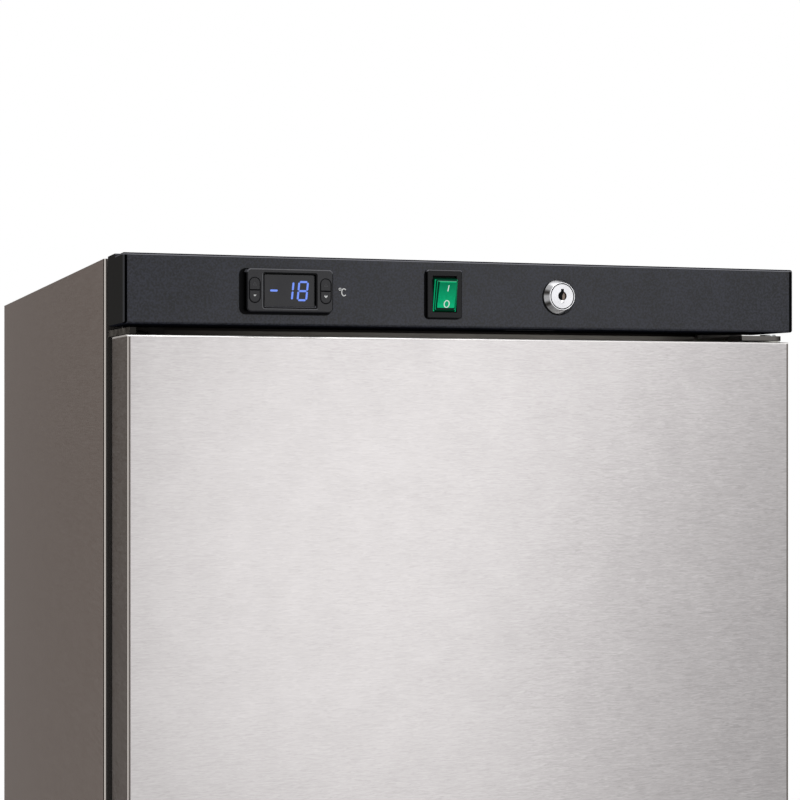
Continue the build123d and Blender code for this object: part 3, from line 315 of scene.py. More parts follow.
@dataclass(frozen=True)
class BrushedSteel(Finish):
    """Cold-rolled stainless sheet, belt-brushed: short level streaks that fan a highlight out.

    Seen along the sheet, the brushed ridges hide one another, so the steel turns dark there.
    """

    ground: str
    streak: str
    edge: str
    grain: Grain
    roughness: float
    # The real streaks are 0.05 mm apart, and are drawn at about 1 mm so that they show.
    streak_size: float = 1.1
    cloud_size: float = 38.0
    ridge: float = 0.006
    waviness: float = 0.35
    # A quarter turn from the streaks, so that the highlight spreads across them.
    spread_turn: float = 0.25
    # The sheet's upright folds: half width, front face and radius in millimetres. A fold gets a
    # painted highlight up to a share of its radius, and a painted dark line of shade next to that.
    fold: tuple[float, float, float] | None = None
    fold_crest: float = 0.72
    fold_colour: str = "#B5AFAA"
    fold_line: str = "#55504D"
    # Distances past the crest between which the painted dark line ends, in millimetres.
    line_fade: Flat = (0.9, 1.5)
    # Height of a top fold that gets a painted highlight, in millimetres.
    crown: float | None = None
    crown_colour: str = "#F0EEEC"
    # Depths below the top fold between which the painted highlight begins, in millimetres.
    crown_fade: Flat = (1.6, 1.1)
    # Strip below a top panel, in millimetres: its foot and head, and where its painted light begins
    # and ends across the width. Above its foot the sheet is painted with the panel's shadow.
    strip: tuple[float, float, float, float] | None = None
    strip_colour: str = "#8F8B85"
    strip_shade: str = "#1E1C1B"

    def burnish_fold(self, graph: Graph, place: Socket, colour: Socket) -> Socket:
        """Paints a highlight on the crest of the upright folds and a dark line of shade beside it.

        Args:
            graph: The material's nodes.
            place: The place on the piece.
            colour: The sheet's colour.

        Returns:
            The colour with the painted highlight and shade of the folds.
        """
        half_width, front, radius = self.fold
        away = graph.from_corner(place, half_width, front)
        crest = radius * self.fold_crest
        beyond = graph.spread(away, 0.0, 1.0, crest - 0.1, crest + 0.1)
        start, end = self.line_fade
        line = graph.calc("MULTIPLY", beyond,
                          graph.spread(away, 1.0, 0.0, crest + start, crest + end))
        return graph.blend(line, graph.blend(beyond, self.fold_colour, colour), self.fold_line)

    def light_strip(self, graph: Graph, place: Socket, colour: Socket) -> Socket:
        """Paints the panel's shadow on the sheet from the strip's foot upwards, and light on the
        strip itself.

        Args:
            graph: The material's nodes.
            place: The place on the piece.
            colour: The sheet's colour.

        Returns:
            The colour with the strip.
        """
        foot, head, start, end = (at * MM for at in self.strip)
        across, _, height = graph.split(place)
        above = graph.spread(height, 0.0, 1.0, foot - 0.5 * MM, foot)
        below = graph.spread(height, 1.0, 0.0, head - 0.3 * MM, head + 0.3 * MM)
        lit = graph.calc("MULTIPLY", graph.calc("MULTIPLY", above, below),
                         graph.spread(across, 0.0, 1.0, start, end))
        return graph.blend(lit, graph.blend(above, colour, self.strip_shade), self.strip_colour)

    def shade(self, graph: Graph) -> Node:
        """Builds the brushed metal; Args and Returns as in Finish."""
        place = graph.place()
        streaks = graph.noise(place, self.streak_size, self.grain, 5.0, 0.62, self.waviness)
        clouds = graph.noise(place, self.cloud_size, detail=4.0, roughness=0.6)
        clouded = graph.calc("ADD", graph.spread(streaks, 0.0, 0.75, 0.32, 0.68),
                             graph.spread(clouds, 0.0, 0.16))
        colour = graph.blend(clouded, self.streak, self.ground)
        # Painted highlight on the folds' crests and painted shade beside them.
        if self.fold:
            colour = self.burnish_fold(graph, place, colour)
        # Painted highlight along the top fold.
        if self.crown:
            ends = [(self.crown - depth) * MM for depth in self.crown_fade]
            crown = graph.spread(graph.split(place)[2], 0.0, 1.0, *ends)
            colour = graph.blend(crown, colour, self.crown_colour)
        # Painted shadow of the panel above, and painted light on the strip.
        if self.strip:
            colour = self.light_strip(graph, place, colour)
        return graph.add("BsdfPrincipled", {
            "Base Color": colour, "Metallic": 1.0,
            "Roughness": graph.vary(streaks, self.roughness, 0.045),
            "Specular Tint": linear(self.edge), "Anisotropic": 0.6,
            "Anisotropic Rotation": self.spread_turn, "Tangent": graph.tangent("Z"),
            "Normal": graph.bump(streaks, self.ridge, graph.spread(graph.facing(), 1.0, 0.1))})


@dataclass(frozen=True)
class PlatedSteel(Finish):
    """Pressed or turned steel with a bright plating: smooth and glossy, with slight clouding.

    A bracket's faces that look to the front and back can be given painted shade.
    """

    ground: str
    shade_colour: str
    roughness: float
    cloud_size: float = 2.4
    ripple: float = 0.002
    edge: str = "#FFFFFF"
    sheared: str = ""

    def shade(self, graph: Graph) -> Node:
        """Builds the plated metal; Args and Returns as in Finish."""
        clouds = graph.noise(graph.place(), self.cloud_size, detail=4.0)
        colour = graph.blend(clouds, self.shade_colour, self.ground)
        # Painted shade on the faces that look to the front and back.
        if self.sheared:
            colour = graph.blend(graph.turned_to(1), colour, self.sheared)
        return graph.add("BsdfPrincipled", {
            "Base Color": colour, "Metallic": 1.0,
            "Roughness": graph.vary(clouds, self.roughness, self.roughness * 0.25),
            "Specular Tint": linear(self.edge), "Normal": graph.bump(clouds, self.ripple)})


@dataclass(frozen=True)
class LatheTurnedChrome(Finish):
    """Brass turned on a lathe and chromed: fine rings about its axis fan the highlight out."""

    ground: str
    # Colour of the painted dark reflections on the cone.
    shade_colour: str
    centre: Point
    roughness: float
    cone_radius: float
    # Real tool marks are 0.05 mm apart; these are 0.25 mm, the finest that the picture holds.
    mark_pitch: float = 0.25
    mark_depth: float = 0.0016
    spokes: float = 1.75
    spoke_haze: float = 0.4
    # Bearings of the cone's painted dark reflections, counted from the right, and their reach to
    # either side, in degrees.
    dark_spokes: tuple[float, ...] = (166.0, 208.0)
    spoke_reach: float = 15.0

    def darkness(self, graph: Graph, around: Socket) -> Socket:
        """Gives how much painted dark reflection the cone has in each direction from its axis.

        Args:
            graph: The material's nodes.
            around: The direction from the axis.

        Returns:
            The share of the painted reflection's dark colour.
        """
        fan = graph.add("TexNoise", {
            "Vector": around, "Scale": self.spokes, "Detail": 1.5, "Roughness": 0.6})
        dark = graph.spread(fan.outputs["Fac"], self.spoke_haze, 0.0, 0.36, 0.6)
        for bearing in map(math.radians, self.dark_spokes):
            aim = (math.cos(bearing), 0.0, math.sin(bearing))
            near = graph.add("VectorMath", {0: around, 1: aim}, operation="DOT_PRODUCT")
            near = graph.spread(near.outputs["Value"], 0.0, 1.0,
                                math.cos(math.radians(self.spoke_reach)), 1.0)
            dark = graph.calc("MAXIMUM", dark, near)
        return dark

    def shade(self, graph: Graph) -> Node:
        """Builds the turned metal; Args and Returns as in Finish."""
        centre = [value * MM for value in self.centre]
        offset = graph.add("VectorMath", {0: graph.place(), 1: centre}, operation="SUBTRACT")
        flat = graph.add("VectorMath", {0: offset.outputs[0], 1: (1.0, 0.0, 1.0)},
                         operation="MULTIPLY").outputs[0]
        radius = graph.add("VectorMath", {0: flat}, operation="LENGTH").outputs["Value"]
        around = graph.add("VectorMath", {0: flat}, operation="NORMALIZE").outputs[0]
        along = graph.add("CombineXYZ", {"X": radius}).outputs[0]
        marks = graph.noise(along, self.mark_pitch, detail=2.0)
        on_cone = graph.spread(radius, 0.0, 1.0, self.cone_radius * MM,
                               (self.cone_radius + 0.3) * MM)
        # Painted dark reflections, faint all round and strong at the listed bearings, on the cone
        # only.
        spoke = graph.calc("MULTIPLY", self.darkness(graph, around), on_cone)
        return graph.add("BsdfPrincipled", {
            "Base Color": graph.blend(spoke, self.ground, self.shade_colour), "Metallic": 1.0,
            "Roughness": graph.vary(marks, self.roughness, self.roughness * 0.2),
            "Anisotropic": 0.3, "Tangent": graph.tangent("Y"),
            "Normal": graph.bump(marks, self.mark_depth)})


@dataclass(frozen=True)
class GalvanisedSheet(Finish):
    """Hot-dip galvanised steel: zinc crystals about a centimetre wide, each lit by itself."""

    bright: str
    dull: str
    spangle: float = 9.0
    roughness: float = 0.42

    def shade(self, graph: Graph) -> Node:
        """Builds the spangled zinc; Args and Returns as in Finish."""
        place = graph.place()
        crystals = graph.add("TexVoronoi", {"Vector": place, "Scale": per_metre(self.spangle)})
        tone = graph.add("SeparateColor", {0: crystals.outputs["Color"]}).outputs[0]
        fine = graph.noise(place, 0.8, detail=2.0)
        return graph.add("BsdfPrincipled", {
            "Base Color": graph.blend(tone, self.dull, self.bright), "Metallic": 1.0,
            "Roughness": graph.vary(tone, self.roughness, 0.08, 0.0, 1.0),
            "Normal": graph.bump(fine, 0.004)})


@dataclass(frozen=True)
class BakedEnamel(Finish):
    """Steel with a sprayed and baked coat: even colour, with the orange peel of the spray."""

    ground: str
    shade_colour: str
    roughness: float
    peel: float = 1.6
    peel_depth: float = 0.006
    cloud_size: float = 45.0

    def shade(self, graph: Graph) -> Node:
        """Builds the coat; Args and Returns as in Finish."""
        place = graph.place()
        peel = graph.noise(place, self.peel, detail=1.0)
        clouds = graph.noise(place, self.cloud_size)
        return graph.add("BsdfPrincipled", {
            "Base Color": graph.blend(clouds, self.shade_colour, self.ground),
            "Roughness": graph.vary(clouds, self.roughness, 0.04),
            "Normal": graph.bump(peel, self.peel_depth)})


@dataclass(frozen=True)
class MouldedPlastic(Finish):
    """Thermoplastic moulded in a tool whose wall was spark-eroded or polished, in relief.

    The grain shades itself where it is seen along the surface, so the gloss is lost there.
    Edges that turn upwards get a painted highlight, and the upright corners of a long moulding
    a painted highlight line beside a painted dark band. Side faces can be given painted shade.
    """

    ground: str
    shade_colour: str
    roughness: float
    grain_size: float
    grain_depth: float
    specular: float = 0.5
    edge_gloss: float = 1.0
    rim_colour: str = ""
    # Half width and front face of a moulding whose upright corners get a painted highlight line
    # and a painted dark band, in millimetres.
    corner: Flat | None = None
    corner_reach: float = 3.2
    corner_colour: str = "#48484B"
    corner_shade: str = "#020203"
    # Distances from the corner between which its painted highlight line ends, in millimetres.
    corner_crest: Flat = (0.7, 1.0)
    # Shares of a view along the surface between which the gloss fades.
    gloss_fade: Flat = (0.45, 0.72)
    # Slope at which the painted highlight on upturned edges ends and the unlit top begins, 1 being
    # level.
    rim_end: float = 0.8
    # Painted shade of the side faces, which also takes away their gloss.
    flank_colour: str = ""

    def shade(self, graph: Graph) -> Node:
        """Builds the plastic; Args and Returns as in Finish."""
        place = graph.place()
        grain = graph.noise(place, self.grain_size, detail=2.0)
        clouds = graph.noise(place, 24.0)
        mottled = graph.calc("ADD", graph.spread(grain, 0.0, 0.75, 0.38, 0.62),
                             graph.spread(clouds, 0.0, 0.25))
        colour = graph.blend(mottled, self.shade_colour, self.ground)
        gloss: float | Socket = self.specular
        if self.edge_gloss < 1.0:
            gloss = graph.spread(graph.facing(), self.specular, self.specular * self.edge_gloss,
                                 *self.gloss_fade)
        # Painted highlight line and painted dark band along the upright corners.
        if self.corner:
            away = graph.from_corner(place, *self.corner)
            keep = graph.spread(away, 0.0, 1.0, self.corner_reach - 0.4, self.corner_reach)
            crest = graph.spread(away, 1.0, 0.0, *self.corner_crest)
            edge = graph.blend(crest, self.corner_shade, self.corner_colour)
            colour = graph.blend(keep, edge, colour)
            gloss = graph.calc("MULTIPLY", keep, gloss)
        # Painted shade on the side faces.
        if self.flank_colour:
            flank = graph.turned_to(0)
            colour = graph.blend(flank, colour, self.flank_colour)
            gloss = graph.calc("MULTIPLY", graph.calc("SUBTRACT", 1.0, flank), gloss)
        # Painted highlight on edges that turn upwards.
        if self.rim_colour:
            up = graph.slope(2)
            below = graph.spread(up, 1.0, 0.0, self.rim_end - 0.15, self.rim_end)
            rim = graph.calc("MULTIPLY", graph.spread(up, 0.0, 1.0, 0.08, 0.2), below)
            colour = graph.blend(rim, colour, self.rim_colour)
            gloss = graph.calc("MULTIPLY", below, gloss)
        return graph.add("BsdfPrincipled", {
            "Base Color": colour, "Roughness": graph.vary(grain, self.roughness, 0.05),
            "Specular IOR Level": gloss, "Normal": graph.bump(grain, self.grain_depth)})


@dataclass(frozen=True)
class TintedLens(Finish):
    """Clear polycarbonate dyed through and polished: deep colour with a lamp glowing behind it."""

    ground: str
    deep: str
    glow: str
    glow_strength: float
    # Heights between which the lamp's light falls off, in millimetres.
    lamp_height: float = 1810.0
    dark_height: float = 1832.0

    def shade(self, graph: Graph) -> Node:
        """Builds the lens, lighter towards its lower end; Args and Returns as in Finish."""
        place = graph.place()
        depth = graph.spread(graph.split(place)[2], 1.0, 0.0, self.lamp_height * MM,
                             self.dark_height * MM)
        ripple = graph.noise(place, 2.2, detail=2.0)
        lit = graph.calc("MULTIPLY", depth, graph.spread(ripple, 0.75, 1.15))
        return graph.add("BsdfPrincipled", {
            "Base Color": graph.blend(lit, self.deep, self.ground),
            "Roughness": 0.3, "Specular IOR Level": 0.03,
            "Emission Color": graph.blend(lit, self.deep, self.glow),
            "Emission Strength": self.glow_strength, "Normal": graph.bump(ripple, 0.01)})


@dataclass(frozen=True)
class LitSegment(Finish):
    """Milky light guide over a light-emitting diode: even glow, a little weaker at its rim."""

    glow: str
    rim: str
    strength: float

    def shade(self, graph: Graph) -> Node:
        """Builds the glow; Args and Returns as in Finish."""
        mottle = graph.noise(graph.place(), 1.5, detail=1.0)
        return graph.add("BsdfPrincipled", {
            "Base Color": linear("#0A0E1C"), "Roughness": 0.5, "Specular IOR Level": 0.1,
            "Emission Color": graph.blend(mottle, self.rim, self.glow),
            "Emission Strength": self.strength})


@dataclass(frozen=True)
class ScreenInk(Finish):
    """Screen-printed ink: matt and slightly uneven where the mesh let less of it through."""

    ground: str
    thin: str

    def shade(self, graph: Graph) -> Node:
        """Builds the ink; Args and Returns as in Finish."""
        coverage = graph.spread(graph.noise(graph.place(), 0.35, detail=2.0), 0.0, 1.0)
        return graph.add("BsdfPrincipled", {
            "Base Color": graph.blend(coverage, self.thin, self.ground), "Roughness": 0.7})


@dataclass(frozen=True)
class Elastomer(Finish):
    """Extruded or moulded rubber: matt, with a soft sheen and a fine drawn surface."""

    ground: str
    shade_colour: str

    def shade(self, graph: Graph) -> Node:
        """Builds the rubber; Args and Returns as in Finish."""
        drawn = graph.noise(graph.place(), 0.6, detail=2.0)
        return graph.add("BsdfPrincipled", {
            "Base Color": graph.blend(drawn, self.shade_colour, self.ground),
            "Roughness": 0.72, "Sheen Weight": 0.15, "Sheen Roughness": 0.5,
            "Normal": graph.bump(drawn, 0.01)})


@dataclass(frozen=True)
class FoamedCore(Finish):
    """Polyurethane foamed in place: pale yellow, with cut cells about 1.5 mm wide."""

    ground: str
    pit: str
    cell: float = 1.5

    def shade(self, graph: Graph) -> Node:
        """Builds the foam; Args and Returns as in Finish."""
        cells = graph.add("TexVoronoi", {
            "Vector": graph.place(), "Scale": per_metre(self.cell)}).outputs["Distance"]
        return graph.add("BsdfPrincipled", {
            "Base Color": graph.blend(cells, self.pit, self.ground), "Roughness": 0.9,
            "Normal": graph.bump(cells, 0.3)})


@dataclass(frozen=True)
class DrawnCopper(Finish):
    """Copper tube drawn to size and left bare, browned in clouds by heat and handling."""

    bright: str
    tarnish: str
    cloud_size: float = 16.0

    def shade(self, graph: Graph) -> Node:
        """Builds the copper; Args and Returns as in Finish."""
        clouds = graph.noise(graph.place(), self.cloud_size, detail=5.0, roughness=0.6)
        stain = graph.spread(clouds, 0.0, 1.0, 0.4, 0.68)
        return graph.add("BsdfPrincipled", {
            "Base Color": graph.blend(stain, self.bright, self.tarnish), "Metallic": 1.0,
            "Roughness": graph.vary(clouds, 0.34, 0.08)})


# The panel's front face along Y, and the lock's middle in front of it, in millimetres.
PANEL_FRONT = -343.8
LOCK_CENTRE = (73.0, -350.0, 1820.9)

# Brushed 430 stainless sheet of the door, silver with a warm cast.
# Its folds and top fold carry painted highlights, with painted dark lines beside the folds.
DOOR_STEEL = BrushedSteel("brushed_door_sheet", "#A6A3A3", "#898686", "#7A756F", Grain.WAVY, 0.36,
                          fold=(296.0, PANEL_FRONT, 2.0), waviness=1.4, crown=1785.2)
KICK_STEEL = BrushedSteel("brushed_kick_sheet", "#A6A3A3", "#898686", "#54504C", Grain.WAVY, 0.38,
                          waviness=1.4)
# The same sheet on the cabinet, which was brushed with a finer belt and looks warmer.
# Its front folds carry a painted highlight beside a painted dark line.
SIDE_STEEL = BrushedSteel("brushed_side_sheet", "#A8A29E", "#A29C98", "#7F7875", Grain.LEVEL, 0.38,
                          fold=(300.0, -273.2, 2.62), fold_colour="#CFC9C3", fold_line="#3A3633")
ROOF_STEEL = BrushedSteel("brushed_roof_sheet", "#A8A29E", "#A29C98", "#7F7875", Grain.ACROSS,
                          0.38)
# The frame is the cabinet's stainless, painted dark as the shade of the gap behind the door.
FRAME_STEEL = BrushedSteel("brushed_frame_sheet", "#45423E", "#3A3734", "#242120", Grain.LEVEL,
                           0.42, strip=(1788.9, 1792.3, -262.0, 40.0))
# Cut and bent steel strip, tumbled smooth and zinc plated.
# Each bracket's last colour is painted shade on its faces that look to the front and back.
BRACKET_STEEL = PlatedSteel("zinc_plated_bracket", "#A6A4A2", "#989694", 0.34, 9.0, 0.001,
                            "#6A6866", "#4C4A48")
DARK_STEEL = PlatedSteel("grey_zinc_bracket", "#7A7773", "#6A6764", 0.42, 9.0, 0.001,
                         "#504E4B", "#1C1B1A")
ZINC_PLATE = PlatedSteel("zinc_plated_fastener", "#A3A5A5", "#8E9092", 0.3)
GALVANISED = GalvanisedSheet("hot_dip_galvanised_sheet", "#A9ADAF", "#8E9396")
BLACK_ENAMEL = BakedEnamel("black_compressor_enamel", "#1D1D1F", "#151517", 0.34)
WIRE_ENAMEL = BakedEnamel("white_wire_coating", "#E4E4E1", "#DADAD7", 0.35)
# Sheet of high-impact polystyrene, drawn hot over a tool.
LINER = BakedEnamel("thermoformed_liner", "#E2E3E1", "#DEDFDD", 0.36, 3.5)
# Injection-moulded ABS with a fine spark-eroded grain.
# In these mouldings the pale rim colours are painted highlights and the side colours painted shade.
PANEL_ABS = MouldedPlastic("grained_black_abs", "#2C2E38", "#050609", 0.36, 1.7, 0.03, 0.2, 0.0,
                           "#85858B", (299.0, PANEL_FRONT), rim_end=0.5, flank_colour="#3E3D3C")
BEZEL_ABS = MouldedPlastic("satin_black_abs", "#1A1A1F", "#101014", 0.32, 0.5, 0.01, 0.2, 0.0,
                           "#606065", flank_colour="#020202")
KEY_ABS = MouldedPlastic("soft_black_key", "#18181C", "#121215", 0.36, 0.4, 0.005, 0.2, 0.0,
                         "#2C2C30")
GAP_BLACK = MouldedPlastic("shaded_key_gap", "#050506", "#030304", 0.6, 0.4, 0.005, 0.05, 0.0)
LIP_ABS = MouldedPlastic("polished_window_lip", "#050506", "#030304", 0.3, 0.4, 0.002, 0.05, 0.0,
                         "#6A6A70")
SWITCH_NYLON = MouldedPlastic("black_switch_nylon", "#121215", "#0A0A0C", 0.3, 0.5, 0.006, 0.09,
                              0.0, "#7A7A80", flank_colour="#020202")
NYLON = MouldedPlastic("natural_nylon", "#C9C8C0", "#B7B6AE", 0.4, 0.8, 0.01)
# Painted highlight along the display window's left and lower edge.
WINDOW_EDGE_HIGHLIGHT = MouldedPlastic("worn_window_edge", "#5C5C61", "#4A4A4E", 0.4, 0.6, 0.002, 0.3)
GREY_RELIEF = MouldedPlastic("raised_key_mark", "#3A3A3D", "#323235", 0.5, 0.4, 0.004, 0.4)
# Smoked acrylic over the display, polished on both sides.
FILTER_ACRYLIC = MouldedPlastic("smoked_display_filter", "#1A1A20", "#151519", 0.2, 14.0, 0.001,
                                0.16)
BLUE_LIGHT = LitSegment("blue_lit_segment", "#84A4FF", "#6E90FF", 0.95)
LIT_WHITE = LitSegment("lit_white_mark", "#E8F4EE", "#DCEAE3", 0.85)
# Green polycarbonate: the lamp behind its lower end lights the face. The other coats are
# painted shade on the flank, bevel and dark line, and painted highlights on the rim and glint.
LENS_FACE = TintedLens("green_lens_face", "#027A4F", "#00583A", "#069464", 0.9)
LENS_RIM_HIGHLIGHT = TintedLens("green_lens_rim", "#048F5C", "#048A58", "#06A66E", 0.8)
LENS_BEVEL_SHADE = TintedLens("green_lens_bevel", "#003824", "#003C28", "#003E28", 0.25)
LENS_FLANK_SHADE = TintedLens("green_lens_flank", "#002818", "#002416", "#00301C", 0.15)
LENS_SHADE_LINE = TintedLens("green_lens_line", "#1A2E28", "#10261F", "#10261F", 0.1)
LENS_GLINT = TintedLens("green_lens_glint", "#6FA898", "#6FA898", "#4A8070", 0.1)
# The ring's dark colour is painted dark reflection on its cone.
LOCK_CHROME = LatheTurnedChrome("turned_lock_ring", "#B8B8BA", "#363432", LOCK_CENTRE, 0.22, 11.6)
LOCK_FACE = LatheTurnedChrome("polished_lock_plug", "#909092", "#909092", LOCK_CENTRE, 0.24, 11.6)
LOCK_SHUTTER = PlatedSteel("polished_lock_shutter", "#C8C8CA", "#B8B8BA", 0.25)
LOCK_GROOVE = PlatedSteel("shaded_lock_groove", "#100F0E", "#0C0B0A", 0.5)
# Keyway walls: the plug's brass, darker than its face, with painted shade of the recess.
KEYWAY_BRASS = PlatedSteel("oiled_lock_brass", "#6E645D", "#4C433D", 0.42, 1.4)
WHITE_INK = ScreenInk("white_screen_ink", "#E8E9E8", "#D5D6D6")
GASKET = Elastomer("extruded_gasket_vinyl", "#3B3A38", "#2F2E2C")
STRIP_VINYL = Elastomer("extruded_strip_vinyl", "#2B2622", "#201C19")
BLACK_RUBBER = Elastomer("moulded_black_rubber", "#1E1E1E", "#171717")
FOAM = FoamedCore("foamed_in_place_core", "#E2D6A8", "#BBAA74")
COPPER = DrawnCopper("drawn_copper_tube", "#D98F6A", "#8E5638")


# Mesh work


def arc(centre: Flat, radii: Flat, start: float, end: float, steps: int) -> list[Flat]:
    """Gives points along an arc of a circle or of an upright ellipse.

    Args:
        centre: The arc's centre.
        radii: Its radius across and its radius upwards.
        start: Angle of the first point in degrees.
        end: Angle of the last point in degrees.
        steps: Number of pieces.

    Returns:
        The points, one more than the pieces.
    """
    angles = [math.radians(start + (end - start) * step / steps) for step in range(steps + 1)]
    return [(centre[0] + radii[0] * math.cos(a), centre[1] + radii[1] * math.sin(a))
            for a in angles]


def circle(radius: float, steps: int) -> list[Flat]:
    """Gives points round a circle about the origin."""
    return arc((0.0, 0.0), (radius, radius), 0, 360, steps)[:-1]


def rounded_outline(width: float, height: float, radius: float, steps: int = 5) -> list[Flat]:
    """Gives a rectangle about the origin with rounded corners.

    Args:
        width: Its full width.
        height: Its full height.
        radius: Radius of the corners.
        steps: Pieces in each corner.

    Returns:
        The points, in order.
    """
    x, y = width / 2 - radius, height / 2 - radius
    points: list[Flat] = []
    for centre, start in (((x, y), 0), ((-x, y), 90), ((-x, -y), 180), ((x, -y), 270)):
        points += arc(centre, (radius, radius), start, start + 90, steps)
    return points


def spaced(low: float, high: float, count: int, inset: float) -> list[float]:
    """Gives evenly spaced places, the outer ones an inset away from the two ends."""
    return [low + inset + (high - low - 2 * inset) * at / (count - 1) for at in range(count)]


def front_plane(x: float, y: float, z: float) -> Lift:
    """Gives the function that places points on an upright face that looks to the front.

    Args:
        x: Place of the points' origin on the face, in millimetres.
        y: The face's own place.
        z: Height of the origin.

    Returns:
        Function of the distances across, up and towards the front, which gives metres.
    """
    return lambda u, v, proud: Vector((x + u, y - proud, z + v)) * MM


def one_coat(_ring: int, _facet: int) -> int:
    """Gives every face of a piece its first finish."""
    return 0


class MeshWork:
    """Mesh of one piece in the making. Sizes are in millimetres."""

    wire_sides: ClassVar[int] = 8
    # Shares of a wire's radius: length of its rounded end, and radius at the very end.
    wire_nose: ClassVar[float] = 0.35
    wire_tip: ClassVar[float] = 0.55
    least_radius: ClassVar[float] = 0.001
    sharp_angle: ClassVar[float] = 40.0

    def __init__(self) -> None:
        """Starts with an empty mesh."""
        self.mesh = bmesh.new()

    def skin(self, rings: Sequence[Sequence[Vector]], closed: bool = False,
             coat: Coat = one_coat) -> None:
        """Joins rings of equally many points with four-sided faces.

        Args:
            rings: The rings in order, in metres.
            closed: Whether the last ring joins the first, instead of a face at either end.
            coat: Gives a face's finish from the numbers of its ring and of its place on it.
        """
        made = [[self.mesh.verts.new(point) for point in ring] for ring in rings]
        count = len(made[0])
        pairs = list(zip(made, made[1:])) + ([(made[-1], made[0])] if closed else [])
        for number, (low, high) in enumerate(pairs):
            for at in range(count):
                after = (at + 1) % count
                face = self.mesh.faces.new((low[at], low[after], high[after], high[at]))
                face.material_index = coat(number, at)
        if not closed:
            self.mesh.faces.new(list(reversed(made[0]))).material_index = coat(0, 0)
            self.mesh.faces.new(made[-1]).material_index = coat(len(pairs) - 1, 0)

    def revolve(self, stations: Sequence[Flat], foot: Vector, way: Vector, sides: int,
                closed: bool = False, coat: Coat = one_coat) -> None:
        """Adds a round shape.

        Args:
            stations: Radius and distance along the axis of each ring.
            foot: Point where the axis starts.
            way: Direction of the axis, of length 1.
            sides: Number of facets.
            closed: Whether the last station joins the first.
            coat: Gives a face's finish, as in skin.
        """
        side = way.orthogonal().normalized()
        up = way.cross(side)
        turns = circle(1.0, sides)
        self.skin([[(foot + way * along + (side * c + up * s) * radius) * MM for c, s in turns]
                   for radius, along in stations], closed, coat)

    def rod(self, start: Point, end: Point, radius: float) -> None:
        """Adds a straight wire with rounded ends.

        Args:
            start: Centre of one end.
            end: Centre of the other end.
            radius: The wire's radius.
        """
        foot = Vector(start)
        way = Vector(end) - foot
        tip, lip = radius * self.wire_tip, radius * self.wire_nose
        self.revolve([(tip, 0.0), (radius, lip), (radius, way.length - lip), (tip, way.length)],
                     foot, way.normalized(), self.wire_sides)

    def turned(self, profile: Sequence[Flat], foot: Point, sides: int,
               coat: Coat = one_coat) -> None:
        """Adds a turned shape about an axis that runs to the back.

        Args:
            profile: Radius and distance along the axis of each point. It starts and ends on
                the axis, or runs round a ring.
            foot: Point where the axis starts.
            sides: Number of facets.
            coat: Gives a face's finish, as in skin.
        """
        closed = profile[0] == profile[-1]
        stations = [(max(radius, self.least_radius), along) for radius, along in profile]
        self.revolve(stations[:-1] if closed else stations, Vector(foot), Vector((0, 1, 0)), sides,
                     closed, coat)

    def ribbon(self, line: Sequence[Flat], width: float, closed: bool, lift: Lift,
               height: float) -> None:
        """Adds a flat printed or raised line on a surface.

        Args:
            line: Points on the surface.
            width: The line's width.
            closed: Whether the line joins up with its start.
            lift: Turns a point of the surface and a height over it into a place in metres.
            height: How far the line stands proud.
        """
        last = len(line) - 1
        rings = []
        for at, (u, v) in enumerate(line):
            before = line[at - 1] if at or closed else line[at]
            after = line[(at + 1) % len(line)] if at < last or closed else line[at]
            du, dv = after[0] - before[0], after[1] - before[1]
            half = width / 2 / math.hypot(du, dv)
            nu, nv = -dv * half, du * half
            rings.append([lift(u + nu, v + nv, -height), lift(u + nu, v + nv, height),
                          lift(u - nu, v - nv, height), lift(u - nu, v - nv, -height)])
        self.skin(rings, closed)

    def prism(self, outline: Sequence[Flat], lift: Lift, low: float, high: float) -> None:
        """Adds a straight-sided shape over an outline.

        Args:
            outline: The outline's points.
            lift: Turns a point of the outline and a height into a place in metres.
            low: Height of the base.
            high: Height of the top.
        """
        self.skin([[lift(u, v, level) for u, v in outline] for level in (low, high)])

    def soften(self, width: float) -> None:
        """Rounds every sharp edge.

        Args:
            width: Width of the rounding.
        """
        self.mesh.normal_update()
        limit = math.radians(self.sharp_angle)
        sharp = [edge for edge in self.mesh.edges
                 if len(edge.link_faces) == 2 and edge.calc_face_angle(0) > limit]
        bmesh.ops.bevel(self.mesh, geom=sharp, offset=width * MM, segments=2, profile=0.5,
                        affect="EDGES", clamp_overlap=True)


# Sub-assemblies


